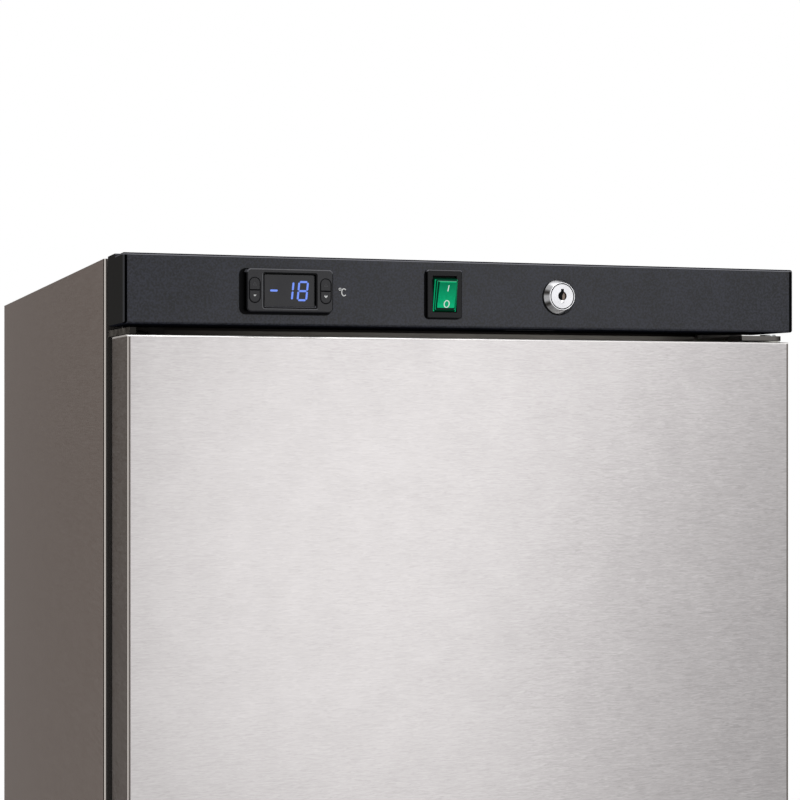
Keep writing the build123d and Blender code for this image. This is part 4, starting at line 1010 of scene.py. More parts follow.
@dataclass
class SubAssembly:
    """Group of pieces that is put together before it goes into the freezer."""

    nodes: dict[str, bpy.types.Object]
    joints: list[dict[str, Any]]

    finishes: ClassVar[dict[str, Finish]] = {}
    # Width and thickness of the black bands of painted shadow beside fittings.
    gasket_width: ClassVar[float] = 6.0
    gasket_thickness: ClassVar[float] = 0.3

    def build(self) -> None:
        """Dresses the carried-over solids and makes the pieces that the solids leave out."""
        for name, finish in self.finishes.items():
            for slot in self.nodes[name].material_slots:
                slot.material = finish.material()
            LOG.info("%s: dressed in %s", name, finish.name)
        self.make()

    def make(self) -> None:
        """Makes this sub-assembly's own pieces."""

    def piece(self, name: str, work: MeshWork, finish: Finish | Sequence[Finish], slot: str,
              body: str = "cabinet", smooth: float = 35.0) -> bpy.types.Object:
        """Turns finished mesh work into a piece that rides on a body.

        Args:
            name: The piece's name.
            work: The mesh work.
            finish: Its finish, or several in the order of its faces' numbers.
            slot: The record's material slot that it belongs to; not used.
            body: The body that it moves with.
            smooth: Edges that turn by fewer degrees than this are shaded smooth.

        Returns:
            The piece.
        """
        bmesh.ops.recalc_face_normals(work.mesh, faces=work.mesh.faces)
        data = bpy.data.meshes.new(name)
        work.mesh.to_mesh(data)
        work.mesh.free()
        data.polygons.foreach_set("use_smooth", [True] * len(data.polygons))
        data.set_sharp_from_angle(angle=math.radians(smooth))
        made = link(name, data)
        for coat in (finish,) if isinstance(finish, Finish) else finish:
            data.materials.append(coat.material())
        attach(made, body)
        LOG.info("%s: %d faces, rides on %s", name, len(data.polygons), body)
        return made

    def make_gasket(self, name: str, node: str, left: float, below: float, radius: float) -> None:
        """Makes a black band of painted shadow behind a fitting's left and lower edge.

        Args:
            name: The piece's name.
            node: The fitting's solid.
            left: How far the painted shadow shows at the left, in millimetres.
            below: How far it shows below.
            radius: Radius of its corners.
        """
        low, high = self.corners(node)
        width, height = high.x - low.x + left, high.z - low.z + below
        outline = rounded_outline(width - self.gasket_width, height - self.gasket_width, radius)
        face = front_plane(low.x - left + width / 2, PANEL_FRONT, low.z - below + height / 2)
        work = MeshWork()
        work.ribbon(outline, self.gasket_width, True, face, self.gasket_thickness)
        self.piece(name, work, GAP_BLACK, "black_abs")

    def corners(self, node: str) -> tuple[Vector, Vector]:
        """Gives a solid's lowest and highest corner in millimetres."""
        low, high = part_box(node)
        return low / MM, high / MM

    def pivot(self, joint: str) -> Vector:
        """Gives the place of a joint's axis in millimetres."""
        return Vector(next(one["pos_m"] for one in self.joints if one["name"] == joint)) / MM


@dataclass
class CabinetShell(SubAssembly):
    """Folded outer sheets, the base and the frame round the opening."""

    strip_inset: float = 1.9
    strip_width: float = 13.0
    strip_thickness: float = 0.9
    strip_chamfer: float = 0.4
    strip_end_gap: float = 2.0
    screw_radius: float = 3.6
    screw_height: float = 1.7
    screw_rows: int = 6
    screw_inset: float = 14.0
    screw_margin: float = 40.0

    finishes: ClassVar[dict[str, Finish]] = {
        "side_panel_left": SIDE_STEEL, "side_panel_right": SIDE_STEEL, "top_panel": ROOF_STEEL,
        "rear_panel": GALVANISED, "machine_deck": GALVANISED, "base_frame": GALVANISED,
        "front_frame": FRAME_STEEL, "insulation": FOAM, "kick_plate": KICK_STEEL,
        "cable_gland": BLACK_RUBBER}

    def make(self) -> None:
        """Makes the black strips on the front flanges and the rear sheet's screws."""
        for side, name in ((-1, "left"), (1, "right")):
            self.make_breaker_strip(side, name)
        self.make_rear_screws()

    def make_breaker_strip(self, side: int, name: str) -> None:
        """Makes the vinyl strip that covers the cold steel beside the door.

        Args:
            side: -1 at the left and 1 at the right.
            name: The side's name.
        """
        low, high = self.corners(f"side_panel_{name}")
        outer = max(abs(low.x), abs(high.x)) - self.strip_inset

        def lift(u: float, v: float, z: float) -> Vector:
            """Places a point of the strip's section at a height."""
            return Vector((side * (outer - u), low.y - v, z)) * MM

        section = [(0.0, 0.0), (self.strip_chamfer, self.strip_thickness),
                   (self.strip_width - self.strip_chamfer, self.strip_thickness),
                   (self.strip_width, 0.0)]
        work = MeshWork()
        work.prism(section, lift, low.z + self.strip_end_gap, high.z - self.strip_end_gap)
        self.piece(f"breaker_strip_{name}", work, STRIP_VINYL, "gasket_rubber")

    def make_rear_screws(self) -> None:
        """Makes the recessed screws along both edges of the rear sheet."""
        low, high = self.corners("rear_panel")
        wide, tall = self.screw_radius, self.screw_height
        dome = [(0.0, 0.0), (wide, 0.0), (wide, 0.4), (wide * 0.8, tall * 0.8), (wide * 0.4, tall),
                (1.2, tall), (0.9, tall - 1.0), (0.0, tall - 1.0)]
        work = MeshWork()
        for side in (-1, 1):
            for z in spaced(low.z, high.z, self.screw_rows, self.screw_margin):
                work.turned(dome, (side * (high.x - self.screw_inset), high.y, z), 20)
        self.piece("rear_sheet_screws", work, ZINC_PLATE, "zinc_plate")


@dataclass
class ColdRoom(SubAssembly):
    """The lined cavity with its refrigerated wire shelves."""

    wire_radius: float = 1.5
    wire_end_gap: float = 0.5
    rail_inset: float = 2.5
    wires: int = 27
    shelves: int = 5

    finishes: ClassVar[dict[str, Finish]] = {
        "inner_liner": LINER, "evaporator_coil": WIRE_ENAMEL, "shelf_decks": WIRE_ENAMEL}

    def make(self) -> None:
        """Makes each shelf from round wires welded across three rails."""
        low, high = self.corners("shelf_decks")
        left, right = low.x + self.wire_end_gap, high.x - self.wire_end_gap
        levels = spaced(low.z, high.z, self.shelves, self.wire_radius)
        for number, z in enumerate(levels, 1):
            work = MeshWork()
            for y in spaced(low.y, high.y, self.wires, self.wire_radius):
                work.rod((left, y, z), (right, y, z), self.wire_radius)
            rail = z - self.wire_radius / 2
            for x in (low.x + self.rail_inset, 0.0, high.x - self.rail_inset):
                work.rod((x, low.y, rail), (x, high.y, rail), self.wire_radius)
            shelf = self.piece(f"wire_shelf_{number}", work, WIRE_ENAMEL, "white_enamel")
            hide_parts("shelf_decks")


@dataclass
class DoorLeaf(SubAssembly):
    """The hinged door with its gasket, handle recess and hinge bushes."""

    finishes: ClassVar[dict[str, Finish]] = {
        "door_skin": DOOR_STEEL, "door_liner": LINER, "door_foam": FOAM, "door_gasket": GASKET,
        "handle_cup": BEZEL_ABS, "hinge_bushes": NYLON, "lock_strike": ZINC_PLATE}


@dataclass
class HingeSet(SubAssembly):
    """Brackets, bolts and pins that carry the door and the control panel."""

    finishes: ClassVar[dict[str, Finish]] = {
        "hinge_bracket_top": BRACKET_STEEL, "hinge_bracket_bottom": BRACKET_STEEL,
        "support_bracket": DARK_STEEL, "hinge_bolts": ZINC_PLATE, "hinge_pins": ZINC_PLATE}


@dataclass
class ControlPanel(SubAssembly):
    """The moulded panel across the top and the channel that it slides onto."""

    finishes: ClassVar[dict[str, Finish]] = {"control_panel": PANEL_ABS, "panel_carrier": PANEL_ABS}


@dataclass
class Thermostat(SubAssembly):
    """Digital temperature controller with its display, keys and the unit sign beside it."""

    ink: float = 0.03
    arrow_width: float = 3.0
    arrow_height: float = 2.2
    arrow_drop: float = 4.6
    arrow_line: float = 0.45
    left_arrow_size: float = 0.72
    sign_gap: float = 8.0
    digit_width: float = 8.8
    digit_height: float = 16.0
    digit_stroke: float = 1.6
    digit_gap: float = 0.48
    digit_lean: float = 6.0
    pane_width: float = 43.8
    pane_height: float = 27.0
    pane_thickness: float = 1.5
    lip_width: float = 0.9
    lip_depth: float = 1.7
    gap_width: float = 0.7
    lip_line: float = 0.7

    finishes: ClassVar[dict[str, Finish]] = {
        "controller_bezel": BEZEL_ABS, "controller_body": PANEL_ABS,
        "display_window": FILTER_ACRYLIC, "display_digits": BLUE_LIGHT,
        "button_left_upper": KEY_ABS, "button_left_lower": KEY_ABS,
        "button_right_upper": KEY_ABS, "button_right_lower": KEY_ABS}

    # Middle of each lit digit to the right of the display's middle, and its lit bars.
    digits: ClassVar[tuple[tuple[float, str], ...]] = (
        (-13.0, "m"), (-1.0, "rs"), (11.0, "tmbpqrs"))

    def make(self) -> None:
        """Makes the display, the marks on the keys and the printed unit sign."""
        self.make_pane()
        self.make_lip()
        # Painted shadow at the bezel's left and lower edge.
        self.make_gasket("controller_gasket", "controller_bezel", 4.2, 1.5, 2.0)
        self.make_digits()
        for side, size in (("left", self.left_arrow_size), ("right", 1.0)):
            self.make_key_gap(side)
            self.make_key_marks(side, size)
        self.make_unit_sign()

    def on_front(self, node: str) -> Lift:
        """Gives the function that places points before a solid, about the controller's middle.

        Args:
            node: The solid from whose front heights count.

        Returns:
            The function, as in front_plane.
        """
        low, high = self.corners("controller_bezel")
        front, _ = self.corners(node)
        return front_plane((low.x + high.x) / 2, front.y, (low.z + high.z) / 2)

    def make_pane(self) -> None:
        """Makes the smoked pane in one piece, with the light guides behind its face."""
        outline = rounded_outline(self.pane_width + 1.0, self.pane_height + 1.0, 1.2)
        work = MeshWork()
        work.prism(outline, self.on_front("display_window"), -self.pane_thickness, 0.0)
        pane = self.piece("display_pane", work, FILTER_ACRYLIC, "display_filter")
        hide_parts("display_window")

    def make_lip(self) -> None:
        """Makes the slope from the bezel's face down to the pane, a line of painted shade round the
        pane and a painted highlight along its left and lower edge.
        """
        place = self.on_front("controller_bezel")
        foot = -self.lip_depth - 0.7
        rings = []
        for inset, proud, radius in ((0.0, -0.02, 1.0), (0.25, 0.0, 1.0), (0.5, -0.15, 1.1),
                                     (self.lip_width, -self.lip_depth, 1.3),
                                     (self.lip_width, foot, 1.3), (0.0, foot, 1.0)):
            outline = rounded_outline(self.pane_width - 2 * inset, self.pane_height - 2 * inset,
                                      radius)
            rings.append([place(u, v, proud) for u, v in outline])
        work = MeshWork()
        work.skin(rings, closed=True)
        self.piece("display_lip", work, LIP_ABS, "black_abs", smooth=30.0)
        # A flat black ribbon of painted shade round the pane.
        outline = rounded_outline(self.pane_width + self.lip_line,
                                  self.pane_height + self.lip_line, 1.3)
        work = MeshWork()
        work.ribbon(outline, self.lip_line, True, place, 0.05)
        self.piece("display_edge", work, GAP_BLACK, "black_abs")
        # Painted highlight along the window's left and lower edge.
        u = self.pane_width / 2 + 1.6 * self.lip_line
        v = self.pane_height / 2 + 1.6 * self.lip_line
        highlight_path = [(-u, v * 0.9), (-u, -v + 1.4), (-u + 0.4, -v + 0.4), (-u + 1.4, -v), (u - 1.4, -v),
                (u - 0.3, -v + 0.5)]
        work = MeshWork()
        work.ribbon(highlight_path, self.lip_line * 0.7, False, place, 0.04)
        self.piece("display_edge_glint", work, WINDOW_EDGE_HIGHLIGHT, "black_abs")

    def bar_ends(self, name: str) -> tuple[float, float, float, float]:
        """Gives the middle line of one bar of a digit: across and up of both of its ends."""
        w = (self.digit_width - self.digit_stroke) / 2
        h = (self.digit_height - self.digit_stroke) / 2
        return {"t": (-w, h, w, h), "m": (-w, 0, w, 0), "b": (-w, -h, w, -h),
                "p": (-w, 0, -w, h), "q": (-w, -h, -w, 0), "r": (w, 0, w, h),
                "s": (w, -h, w, 0)}[name]

    def make_digits(self) -> None:
        """Makes the lit bars, pointed at both ends and leaning to the right."""
        place = self.on_front("display_window")
        lean = math.tan(math.radians(self.digit_lean))
        half = self.digit_stroke / 2
        blunt, cut = 0.35 * half, 0.65 * half
        work = MeshWork()
        for shift, bars in self.digits:
            for u0, v0, u1, v1 in map(self.bar_ends, bars):
                length = math.hypot(u1 - u0, v1 - v0)
                across, up = (u1 - u0) / length, (v1 - v0) / length
                end = length / 2 - self.digit_gap
                outline = []
                for a, b in ((-end, -blunt), (-end + cut, -half), (end - cut, -half),
                             (end, -blunt), (end, blunt), (end - cut, half), (-end + cut, half),
                             (-end, blunt)):
                    v = (v0 + v1) / 2 + up * a + across * b
                    outline.append((shift + (u0 + u1) / 2 + across * a - up * b + v * lean, v))
                work.prism(outline, place, -0.3, 0.06)
        lit = self.piece("lit_digits", work, BLUE_LIGHT, "blue_light")
        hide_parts("display_digits")

    def make_key_gap(self, side: str) -> None:
        """Makes the shaded gap round one pair of keys.

        Args:
            side: Which pair, "left" or "right".
        """
        low, _ = self.corners(f"button_{side}_lower")
        _, high = self.corners(f"button_{side}_upper")
        bezel, far = self.corners("controller_bezel")
        width, height = high.x - low.x + self.gap_width, high.z - low.z + self.gap_width
        place = front_plane((low.x + high.x) / 2, bezel.y, (bezel.z + far.z) / 2)
        work = MeshWork()
        work.ribbon(rounded_outline(width, height, width / 2 - 0.01, 8), self.gap_width, True,
                    place, 0.04)
        self.piece(f"key_gap_{side}", work, GAP_BLACK, "black_abs")

    def make_key_marks(self, side: str, size: float) -> None:
        """Makes the raised up-arrow and the printed down-arrow of one pair of keys.

        Args:
            side: Which pair, "left" or "right".
            size: Size of the down-arrow as a share of the full one.
        """
        low, high = self.corners(f"button_{side}_upper")
        x = (low.x + high.x) / 2
        half, rise = self.arrow_width / 2, self.arrow_height / 2
        work = MeshWork()
        work.ribbon([(-half, -rise), (0.0, rise), (half, -rise)], self.arrow_line, True,
                    front_plane(x, low.y, low.z + self.arrow_drop), 0.12)
        self.piece(f"up_arrow_{side}", work, GREY_RELIEF, "black_gloss_plastic",
                   f"key_{side}_upper")
        half, drop = half * size, self.arrow_height * size
        outline = [(0.0, -drop / 2), (half, drop * 0.2), (half * 0.62, drop * 0.5),
                   (0.0, drop * 0.12), (-half * 0.62, drop * 0.5), (-half, drop * 0.2)]
        work = MeshWork()
        work.prism(outline, front_plane(x, low.y, low.z - self.arrow_drop), -self.ink, self.ink)
        self.piece(f"down_arrow_{side}", work, WHITE_INK, "black_gloss_plastic",
                   f"key_{side}_lower")

    def make_unit_sign(self) -> None:
        """Makes the printed degree ring and letter C on the panel."""
        low, high = self.corners("controller_bezel")
        panel, _ = self.corners("control_panel")
        place = front_plane(high.x + self.sign_gap, panel.y, (low.z + high.z) / 2)
        work = MeshWork()
        work.ribbon(arc((-0.5, 2.4), (0.9, 0.9), 0, 342, 18), 0.52, True, place, self.ink)
        work.ribbon(arc((2.9, 0.0), (1.95, 2.85), 42, 318, 22), 0.8, False, place, self.ink)
        self.piece("unit_sign", work, WHITE_INK, "black_abs")


@dataclass
class PowerSwitch(SubAssembly):
    """Snap-in rocker switch with a lit green cap that is bevelled all round and bears I and O."""

    tilt: float = 9.0
    corner: float = 0.7
    half_width: float = 10.1
    half_length: float = 13.0
    shoulder: float = 8.0
    bevel: float = 2.45
    top_bevel: float = 2.0
    bottom_bevel: float = 3.2
    top_rise: float = 4.6
    bottom_rise: float = 2.2
    sag: float = 0.35
    mark_width: float = 0.72
    mark_height: float = 0.12
    mark_shift: float = 0.5
    bar_length: float = 5.0
    bar_rise: float = 6.3
    ring_width: float = 4.4
    ring_height: float = 5.6
    ring_drop: float = 6.6

    finishes: ClassVar[dict[str, Finish]] = {"switch_housing": SWITCH_NYLON, "rocker": LENS_FLANK_SHADE}
    # The cap's coats: painted shade on the flank, bevel and line, painted highlights on the rim and
    # glint, and the lit face.
    coats: ClassVar[tuple[Finish, ...]] = (
        LENS_FLANK_SHADE, LENS_BEVEL_SHADE, LENS_RIM_HIGHLIGHT, LENS_FACE, LENS_SHADE_LINE, LENS_GLINT)

    # Distance in front of the pivot, half width and half length of the cap's flank.
    flank: ClassVar[tuple[Point, ...]] = (
        (-2.6, 10.2, 13.4), (1.0, 10.3, 14.4), (4.0, 10.32, 14.1), (7.3, 10.32, 13.3))
    # Share of the bevel up to each line, with the coat up to there at the sides, top and bottom.
    bands: ClassVar[tuple[tuple[float, int, int, int], ...]] = (
        (0.0, 1, 1, 0), (0.2, 2, 1, 0), (0.28, 4, 1, 0), (0.5, 1, 1, 1), (0.62, 2, 5, 4),
        (0.7, 4, 2, 4), (1.0, 1, 2, 4))
    face_steps: ClassVar[tuple[float, ...]] = (0.97, 0.8, 0.55, 0.25)

    def make(self) -> None:
        """Makes the green cap, its two marks and the painted shadow beside the housing."""
        # Painted shadow at the housing's left and lower edge.
        self.make_gasket("switch_gasket", "switch_housing", 1.6, 0.9, 1.0)
        self.make_cap()
        self.make_marks()

    def on_cap(self, across: float, out: float, along: float) -> Vector:
        """Places a point of the cap at rest, where its upper end stands out.

        Args:
            across: Distance to the right of the cap's middle, in millimetres.
            out: Distance in front of the pivot.
            along: Distance up from the cap's middle.

        Returns:
            The place in metres.
        """
        lean = math.radians(self.tilt)
        local = Vector((across, -out * math.cos(lean) - along * math.sin(lean),
                        -out * math.sin(lean) + along * math.cos(lean)))
        return (self.pivot("rocker_tilt") + local) * MM

    def height_at(self, along: float, share: float = 1.0) -> float:
        """Gives how far the bevel's or the face's plane lies before the pivot.

        Args:
            along: Distance up from the cap's middle, in millimetres.
            share: How far up the bevel, from 0 to 1, which is the face.

        Returns:
            The distance.
        """
        length = 2 * self.half_length - self.top_bevel - self.bottom_bevel
        slope = (self.top_rise - self.bottom_rise) / length
        rise = self.bottom_rise + slope * (along + self.half_length - self.bottom_bevel)
        return self.shoulder + share * rise

    def bevel_ring(self, share: float, inner: float = 1.0, sag: float = 0.0) -> list[Vector]:
        """Gives one outline of the bevel, or of the face within it.

        Args:
            share: How far up the bevel the outline lies, from 0 to 1.
            inner: Size of the outline as a share of the face.
            sag: Depth below the face's plane, in millimetres.

        Returns:
            The outline's points in metres.
        """
        top = self.half_length - self.top_bevel * share
        bottom = self.half_length - self.bottom_bevel * share
        width = 2 * (self.half_width - self.bevel * share)
        middle = (top - bottom) / 2
        outline = rounded_outline(width * inner, (top + bottom) * inner, self.corner)
        return [self.on_cap(u, self.height_at(v + middle, share) - sag, v + middle)
                for u, v in outline]

    def make_cap(self) -> None:
        """Makes the cap from rounded outlines that narrow to its hollowed face."""
        rings: list[list[Vector]] = []
        coats: list[tuple[int, ...]] = []
        for out, half_width, half_length in self.flank:
            outline = rounded_outline(2 * half_width, 2 * half_length, self.corner)
            rings.append([self.on_cap(u, out, v) for u, v in outline])
            coats.append((0, 0, 0))
        for share, *sides in self.bands:
            rings.append(self.bevel_ring(share))
            coats.append(tuple(sides))
        for inner in self.face_steps:
            rings.append(self.bevel_ring(1.0, inner, self.sag * (1 - inner ** 2)))
            coats.append((3, 3, 3))
        quarter = len(rings[0]) // 4

        def coat(ring: int, facet: int) -> int:
            """Gives the coat of a face from its ring and from the side that it is on."""
            side = 1 if facet == quarter - 1 else 2 if facet == 3 * quarter - 1 else 0
            return coats[ring + 1][side]

        work = MeshWork()
        work.skin(rings, coat=coat)
        cap = self.piece("rocker_cap", work, self.coats, "green_lens", "rocker", 12.0)
        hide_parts("rocker")

    def make_marks(self) -> None:
        """Makes the printed bar and ring."""
        half = self.bar_length / 2
        bar = [(-0.25, self.bar_rise - half), (0.25, self.bar_rise + half)]
        ring = arc((0.0, -self.ring_drop), (self.ring_width / 2, self.ring_height / 2), 0, 348, 29)

        def lift(u: float, v: float, proud: float) -> Vector:
            """Places a point of a mark on the cap's face."""
            return self.on_cap(u + self.mark_shift, self.height_at(v) + proud, v)

        for name, line, closed in (("on_bar", bar, False), ("off_ring", ring, True)):
            work = MeshWork()
            work.ribbon(line, self.mark_width, closed, lift, self.mark_height)
            self.piece(name, work, LIT_WHITE, "green_lens", "rocker")


@dataclass
class CamLock(SubAssembly):
    """Chromed cam lock with its threaded barrel, nut and cam."""

    # The head is less tall than the solid's.
    set_back: float = 1.2
    face_radius: float = 11.5
    groove_radius: float = 10.95
    groove_depth: float = 0.9
    bore_radius: float = 10.35
    head_depth: float = 3.0
    barrel_radius: float = 9.25
    thread_pitch: float = 1.5
    thread_depth: float = 0.7
    ring_facets: int = 72
    plug_radius: float = 10.25
    plug_depth: float = 2.2
    plug_facets: int = 96
    shaft_radius: float = 6.0
    shaft_bore_radius: float = 6.1
    dish_radius: float = 3.9
    slot_half_width: float = 1.35
    slot_half_height: float = 5.9
    keyway_depth: float = 1.4
    keyway_rise: float = 0.3
    inlay_depth: float = 1.35
    shutter_width: float = 2.5
    shutter_height: float = 2.4
    shutter_drop: float = 4.6
    # Black ring of painted shadow behind the lock: reach past the ring, shift left and down,
    # thickness.
    washer_rim: float = 0.45
    washer_left: float = 0.8
    washer_below: float = 0.55
    washer_thickness: float = 0.3

    finishes: ClassVar[dict[str, Finish]] = {"lock_nut": ZINC_PLATE, "lock_cam": ZINC_PLATE}

    def make(self) -> None:
        """Makes the painted shadow, the ring, the plug, and the painted shade and shutter in the
        keyway.
        """
        self.make_washer()
        self.make_ring()
        self.make_plug()
        self.make_keyway()

    def set_in(self, node: str) -> tuple[Vector, Vector]:
        """Gives a solid's lowest and highest corner, with its front set back.

        Args:
            node: The solid.

        Returns:
            Both corners in millimetres.
        """
        low, high = self.corners(node)
        low.y += self.set_back
        return low, high

    def make_washer(self) -> None:
        """Makes a black ring of painted shadow that shows behind the ring at the left and below."""
        low, high = self.corners("lock_housing")
        radius = (high.x - low.x) / 2 + self.washer_rim
        inner, thick = self.barrel_radius + 1.0, self.washer_thickness
        x, _, z = LOCK_CENTRE
        work = MeshWork()
        work.turned([(inner, 0.0), (radius, 0.0), (radius, thick), (inner, thick), (inner, 0.0)],
                    (x - self.washer_left, PANEL_FRONT - thick, z - self.washer_below),
                    self.ring_facets)
        self.piece("lock_washer", work, GAP_BLACK, "black_abs")

    def make_ring(self) -> None:
        """Makes the conical ring, the groove and the threaded barrel in one turned piece."""
        low, high = self.set_in("lock_housing")
        base, length = (high.x - low.x) / 2, high.y - low.y
        proud = PANEL_FRONT - low.y
        profile = [(self.bore_radius, self.groove_depth), (self.groove_radius, self.groove_depth),
                   (self.groove_radius, 0.12), (self.groove_radius + 0.12, 0.0),
                   (self.face_radius - 0.15, 0.0), (self.face_radius, 0.15),
                   (base - 0.2, proud - 0.75), (base, proud - 0.5), (base, proud),
                   (self.barrel_radius, proud)]
        along = proud + 1.2
        while along < length - self.thread_pitch:
            profile += [(self.barrel_radius, along),
                        (self.barrel_radius - self.thread_depth, along + 0.55),
                        (self.barrel_radius, along + 1.1)]
            along += self.thread_pitch
        profile += [(self.barrel_radius, length - 0.4), (self.barrel_radius - 0.4, length),
                    (self.shaft_bore_radius, length), (self.shaft_bore_radius, self.head_depth),
                    (self.bore_radius, self.head_depth), profile[0]]
        work = MeshWork()
        work.turned(profile, ((low.x + high.x) / 2, low.y, (low.z + high.z) / 2),
                    self.ring_facets, lambda ring, facet: int(ring < 2))
        ring = self.piece("lock_ring", work, (LOCK_CHROME, LOCK_GROOVE), "chrome_plate",
                          smooth=25.0)
        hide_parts("lock_housing")

    def make_plug(self) -> None:
        """Makes the polished plug with the keyway sunk into its head, and the shaft behind it."""
        low, high = self.set_in("lock_plug")
        x, _, z = LOCK_CENTRE
        place = front_plane(x, low.y, z)
        keyhole = []
        for across, up in circle(1.0, self.plug_facets):
            slot = min(self.slot_half_width / max(abs(across), 0.001),
                       self.slot_half_height / max(abs(up), 0.001))
            reach = max(self.dish_radius, slot)
            keyhole.append((reach * across, reach * up + self.keyway_rise))
        rings = [[place(u, v, -depth) for u, v in keyhole] for depth in (self.keyway_depth, 0.0)]
        for radius, depth in ((self.plug_radius - 0.25, 0.0), (self.plug_radius, 0.25),
                              (self.plug_radius, self.plug_depth),
                              (self.shaft_radius, self.plug_depth),
                              (self.shaft_radius, high.y - low.y)):
            rings.append([place(u, v, -depth) for u, v in circle(radius, self.plug_facets)])
        work = MeshWork()
        work.skin(rings, coat=lambda ring, facet: int(ring == 0))
        plug = self.piece("lock_plug_turned", work, (LOCK_FACE, KEYWAY_BRASS), "chrome_plate",
                          "lock", 25.0)
        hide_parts("lock_plug")

    def make_keyway(self) -> None:
        """Makes the black painted shade at the left of the key's dish and the shutter at its foot.
        """
        low, _ = self.set_in("lock_plug")
        x, _, z = LOCK_CENTRE
        rise, rim = self.keyway_rise, self.dish_radius - 0.2
        top, foot = rise + self.slot_half_height - 0.1, rise - self.shutter_drop + 1.2
        # Black painted shade over the left of the dish.
        shade_outline = [(1.15, top), (-1.15, top), *arc((0.0, rise), (rim, rim), 105, 255, 12),
                 (0.2, foot), (0.2, 0.6), (1.15, 2.6)]
        work = MeshWork()
        work.prism(shade_outline, front_plane(x, low.y, z), -self.inlay_depth, -0.4)
        self.piece("keyway_warding", work, GAP_BLACK, "black_abs", "lock")
        work = MeshWork()
        work.prism(rounded_outline(self.shutter_width, self.shutter_height, 0.3, 3),
                   front_plane(x, low.y, z + rise - self.shutter_drop), -self.inlay_depth, -0.1)
        work.soften(0.12)
        self.piece("keyway_shutter", work, LOCK_SHUTTER, "chrome_plate", "lock")


@dataclass
class CoolingUnit(SubAssembly):
    """Condenser on the back, compressor and the tubes between them."""

    wire_radius: float = 1.0
    wires: int = 27

    finishes: ClassVar[dict[str, Finish]] = {
        "condenser_coil": BLACK_ENAMEL, "condenser_wires": BLACK_ENAMEL, "condenser_clips": NYLON,
        "compressor": BLACK_ENAMEL, "compressor_grommets": BLACK_RUBBER,
        "compressor_bolts": ZINC_PLATE, "terminal_cover": PANEL_ABS, "suction_tube": COPPER,
        "discharge_tube": COPPER, "filter_drier": COPPER, "capillary_tube": COPPER}

    def make(self) -> None:
        """Makes the condenser's round wires, spot-welded to both sides of its tube."""
        low, high = self.corners("condenser_wires")
        for name, y in (("inner", low.y + self.wire_radius), ("outer", high.y - self.wire_radius)):
            work = MeshWork()
            for x in spaced(low.x, high.x, self.wires, self.wire_radius):
                work.rod((x, y, low.z), (x, y, high.z), self.wire_radius)
            wires = self.piece(f"condenser_wires_{name}", work, BLACK_ENAMEL, "black_enamel")
            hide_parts("condenser_wires")


@dataclass
class Footing(SubAssembly):
    """Levelling feet at the front and rollers at the rear."""

    finishes: ClassVar[dict[str, Finish]] = {
        "foot_left": BEZEL_ABS, "foot_right": BEZEL_ABS, "roller_left": NYLON,
        "roller_right": NYLON, "roller_brackets": GALVANISED}


# Studio


@dataclass
class Softbox:
    """A large diffused lamp.

    The lamp looks from its place, in metres, towards its aim. Its brightness is that of a white
    surface in full studio light times this number.
    """

    name: str
    place: Point
    aim: Point
    width: float
    height: float
    brightness: float
    roll: float = 0.0

    def build(self) -> None:
        """Makes the lamp."""
        data = bpy.data.lights.new(self.name, "AREA")
        data.shape = "RECTANGLE"
        data.size, data.size_y = self.width, self.height
        data.energy = self.brightness * math.pi * self.width * self.height
        lamp = link(self.name, data)
        lamp.location = self.place
        turn = (Vector(self.aim) - Vector(self.place)).to_track_quat("-Z", "Y").to_matrix()
        roll = Matrix.Rotation(math.radians(self.roll), 3, "Z")
        lamp.rotation_euler = (turn @ roll).to_euler()
        lamp.visible_camera = False


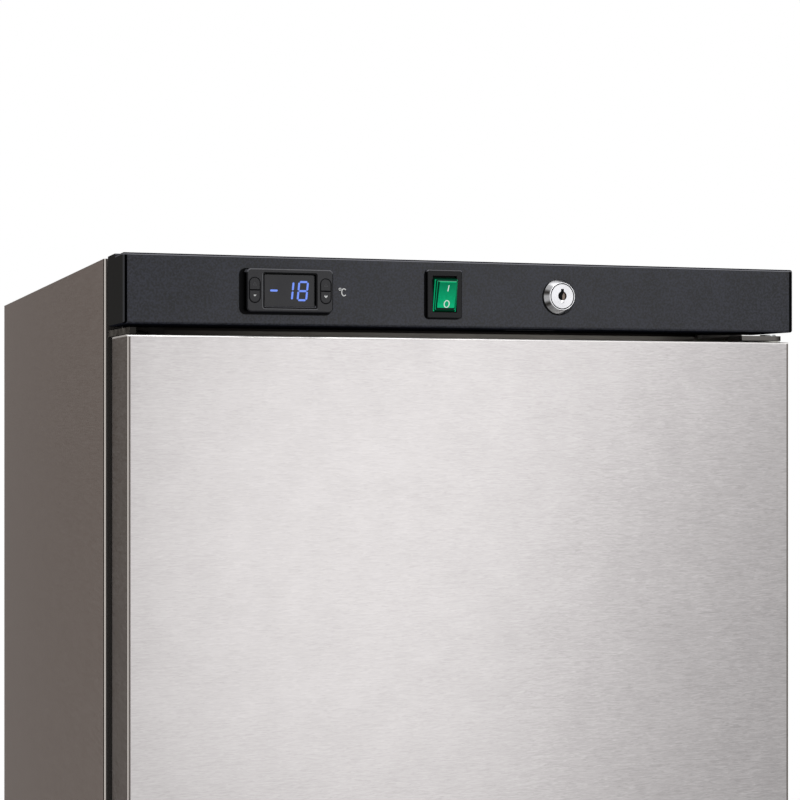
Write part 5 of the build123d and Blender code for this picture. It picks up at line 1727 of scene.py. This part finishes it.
@dataclass
class Studio:
    """White studio: camera, soft lamps, plain floor and a white surround."""

    camera_place: Point = (-0.53475, -1.44359, 1.73463)
    camera_yaw: float = 15.1
    lens: float = 65.725
    sensor_width: float = 36.0
    shift: float = 0.25
    floor_rings: tuple[float, ...] = (0.4, 0.8, 1.6, 2.4, 3.2)
    floor_sides: int = 64
    # Distances from the middle between which the floor fades out, in metres.
    fade_start: float = 1.2
    fade_end: float = 3.15
    floor_colour: str = "#ECECEA"
    ambient: str = "#A8A8A8"

    # A broad key lamp, a smaller one high on the right and a wide one overhead.
    lamps: ClassVar[tuple[Softbox, ...]] = (
        Softbox("key_softbox", (0.98, -3.28, 1.42), (-0.11, -0.344, 1.42), 1.5, 2.4, 2.3, -12.0),
        Softbox("side_softbox", (2.15, -3.2, 2.95), (0.15, -0.344, 1.85), 0.9, 1.6, 2.6),
        Softbox("overhead_softbox", (0.1, -0.9, 3.7), (0.0, -0.1, 1.85), 1.6, 1.2, 2.2))

    def build(self) -> None:
        """Makes the camera first, then the light and the floor."""
        self.make_camera()
        self.make_surround()
        for lamp in self.lamps:
            lamp.build()
        self.make_floor()
        bpy.context.scene.view_settings.view_transform = "Standard"

    def make_camera(self) -> None:
        """Makes the camera: level, turned a little to the right, its frame shifted sideways."""
        data = bpy.data.cameras.new("camera")
        data.lens = self.lens
        data.sensor_width = self.sensor_width
        data.shift_x = self.shift
        camera = link("camera", data)
        camera.location = self.camera_place
        camera.rotation_euler = (math.radians(90), 0.0, math.radians(-self.camera_yaw))
        bpy.context.scene.camera = camera

    def make_surround(self) -> None:
        """Makes the white surround, seen directly and in gloss, over a softer light."""
        world = bpy.data.worlds.new("studio_surround")
        bpy.context.scene.world = world
        graph = Graph(world)
        rays = graph.add("LightPath").outputs
        seen = graph.calc("MAXIMUM", rays["Is Camera Ray"], rays["Is Glossy Ray"])
        seen = graph.calc("MAXIMUM", seen, rays["Is Transmission Ray"])
        soft = graph.add("Background", {"Color": linear(self.ambient), "Strength": 1.0})
        white = graph.add("Background", {"Color": (1.0, 1.0, 1.0, 1.0), "Strength": 1.0})
        both = graph.add("MixShader", {0: seen, 1: soft.outputs[0], 2: white.outputs[0]})
        graph.add("OutputWorld", {"Surface": both.outputs[0]})

    def make_floor(self) -> None:
        """Makes a round pale floor that fades into the surround at its rim."""
        mesh = bmesh.new()
        bands = [[mesh.verts.new((x, y, 0.0)) for x, y in circle(radius, self.floor_sides)]
                 for radius in self.floor_rings]
        mesh.faces.new(bands[0])
        for inner, outer in zip(bands, bands[1:]):
            for at in range(self.floor_sides):
                after = (at + 1) % self.floor_sides
                mesh.faces.new((inner[at], outer[at], outer[after], inner[after]))
        data = bpy.data.meshes.new("studio_floor")
        mesh.to_mesh(data)
        mesh.free()
        floor = link("studio_floor", data)
        data.materials.append(self.floor_material())

    def floor_material(self) -> bpy.types.Material:
        """Gives the floor's plain matt paint, clear towards the rim.

        Returns:
            The material.
        """
        material = bpy.data.materials.new("studio_floor_paint")
        graph = Graph(material)
        distance = graph.add("VectorMath", {0: graph.place()}, operation="LENGTH")
        fade = graph.add("MapRange", {
            "Value": distance.outputs["Value"], "From Min": self.fade_start,
            "From Max": self.fade_end}, interpolation_type="SMOOTHSTEP").outputs[0]
        paint = graph.add("BsdfPrincipled", {
            "Base Color": linear(self.floor_colour), "Roughness": 0.7, "Specular IOR Level": 0.2})
        clear = graph.add("BsdfTransparent")
        both = graph.add("MixShader", {0: fade, 1: paint.outputs[0], 2: clear.outputs[0]})
        graph.add("OutputMaterial", {"Surface": both.outputs[0]})
        return material


ASSEMBLIES: tuple[type[SubAssembly], ...] = (
    CabinetShell, ColdRoom, DoorLeaf, HingeSet, ControlPanel, Thermostat, PowerSwitch, CamLock,
    CoolingUnit, Footing)


def main() -> None:
    """Builds the studio and then each sub-assembly, in the order of the freezer's assembly."""
    logging.basicConfig(level=logging.INFO, format="%(name)s: %(message)s")
    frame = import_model()
    Studio().build()
    for assembly in ASSEMBLIES:
        assembly(frame["nodes"], frame["joints"]).build()


if __name__ == "__main__":
    main()
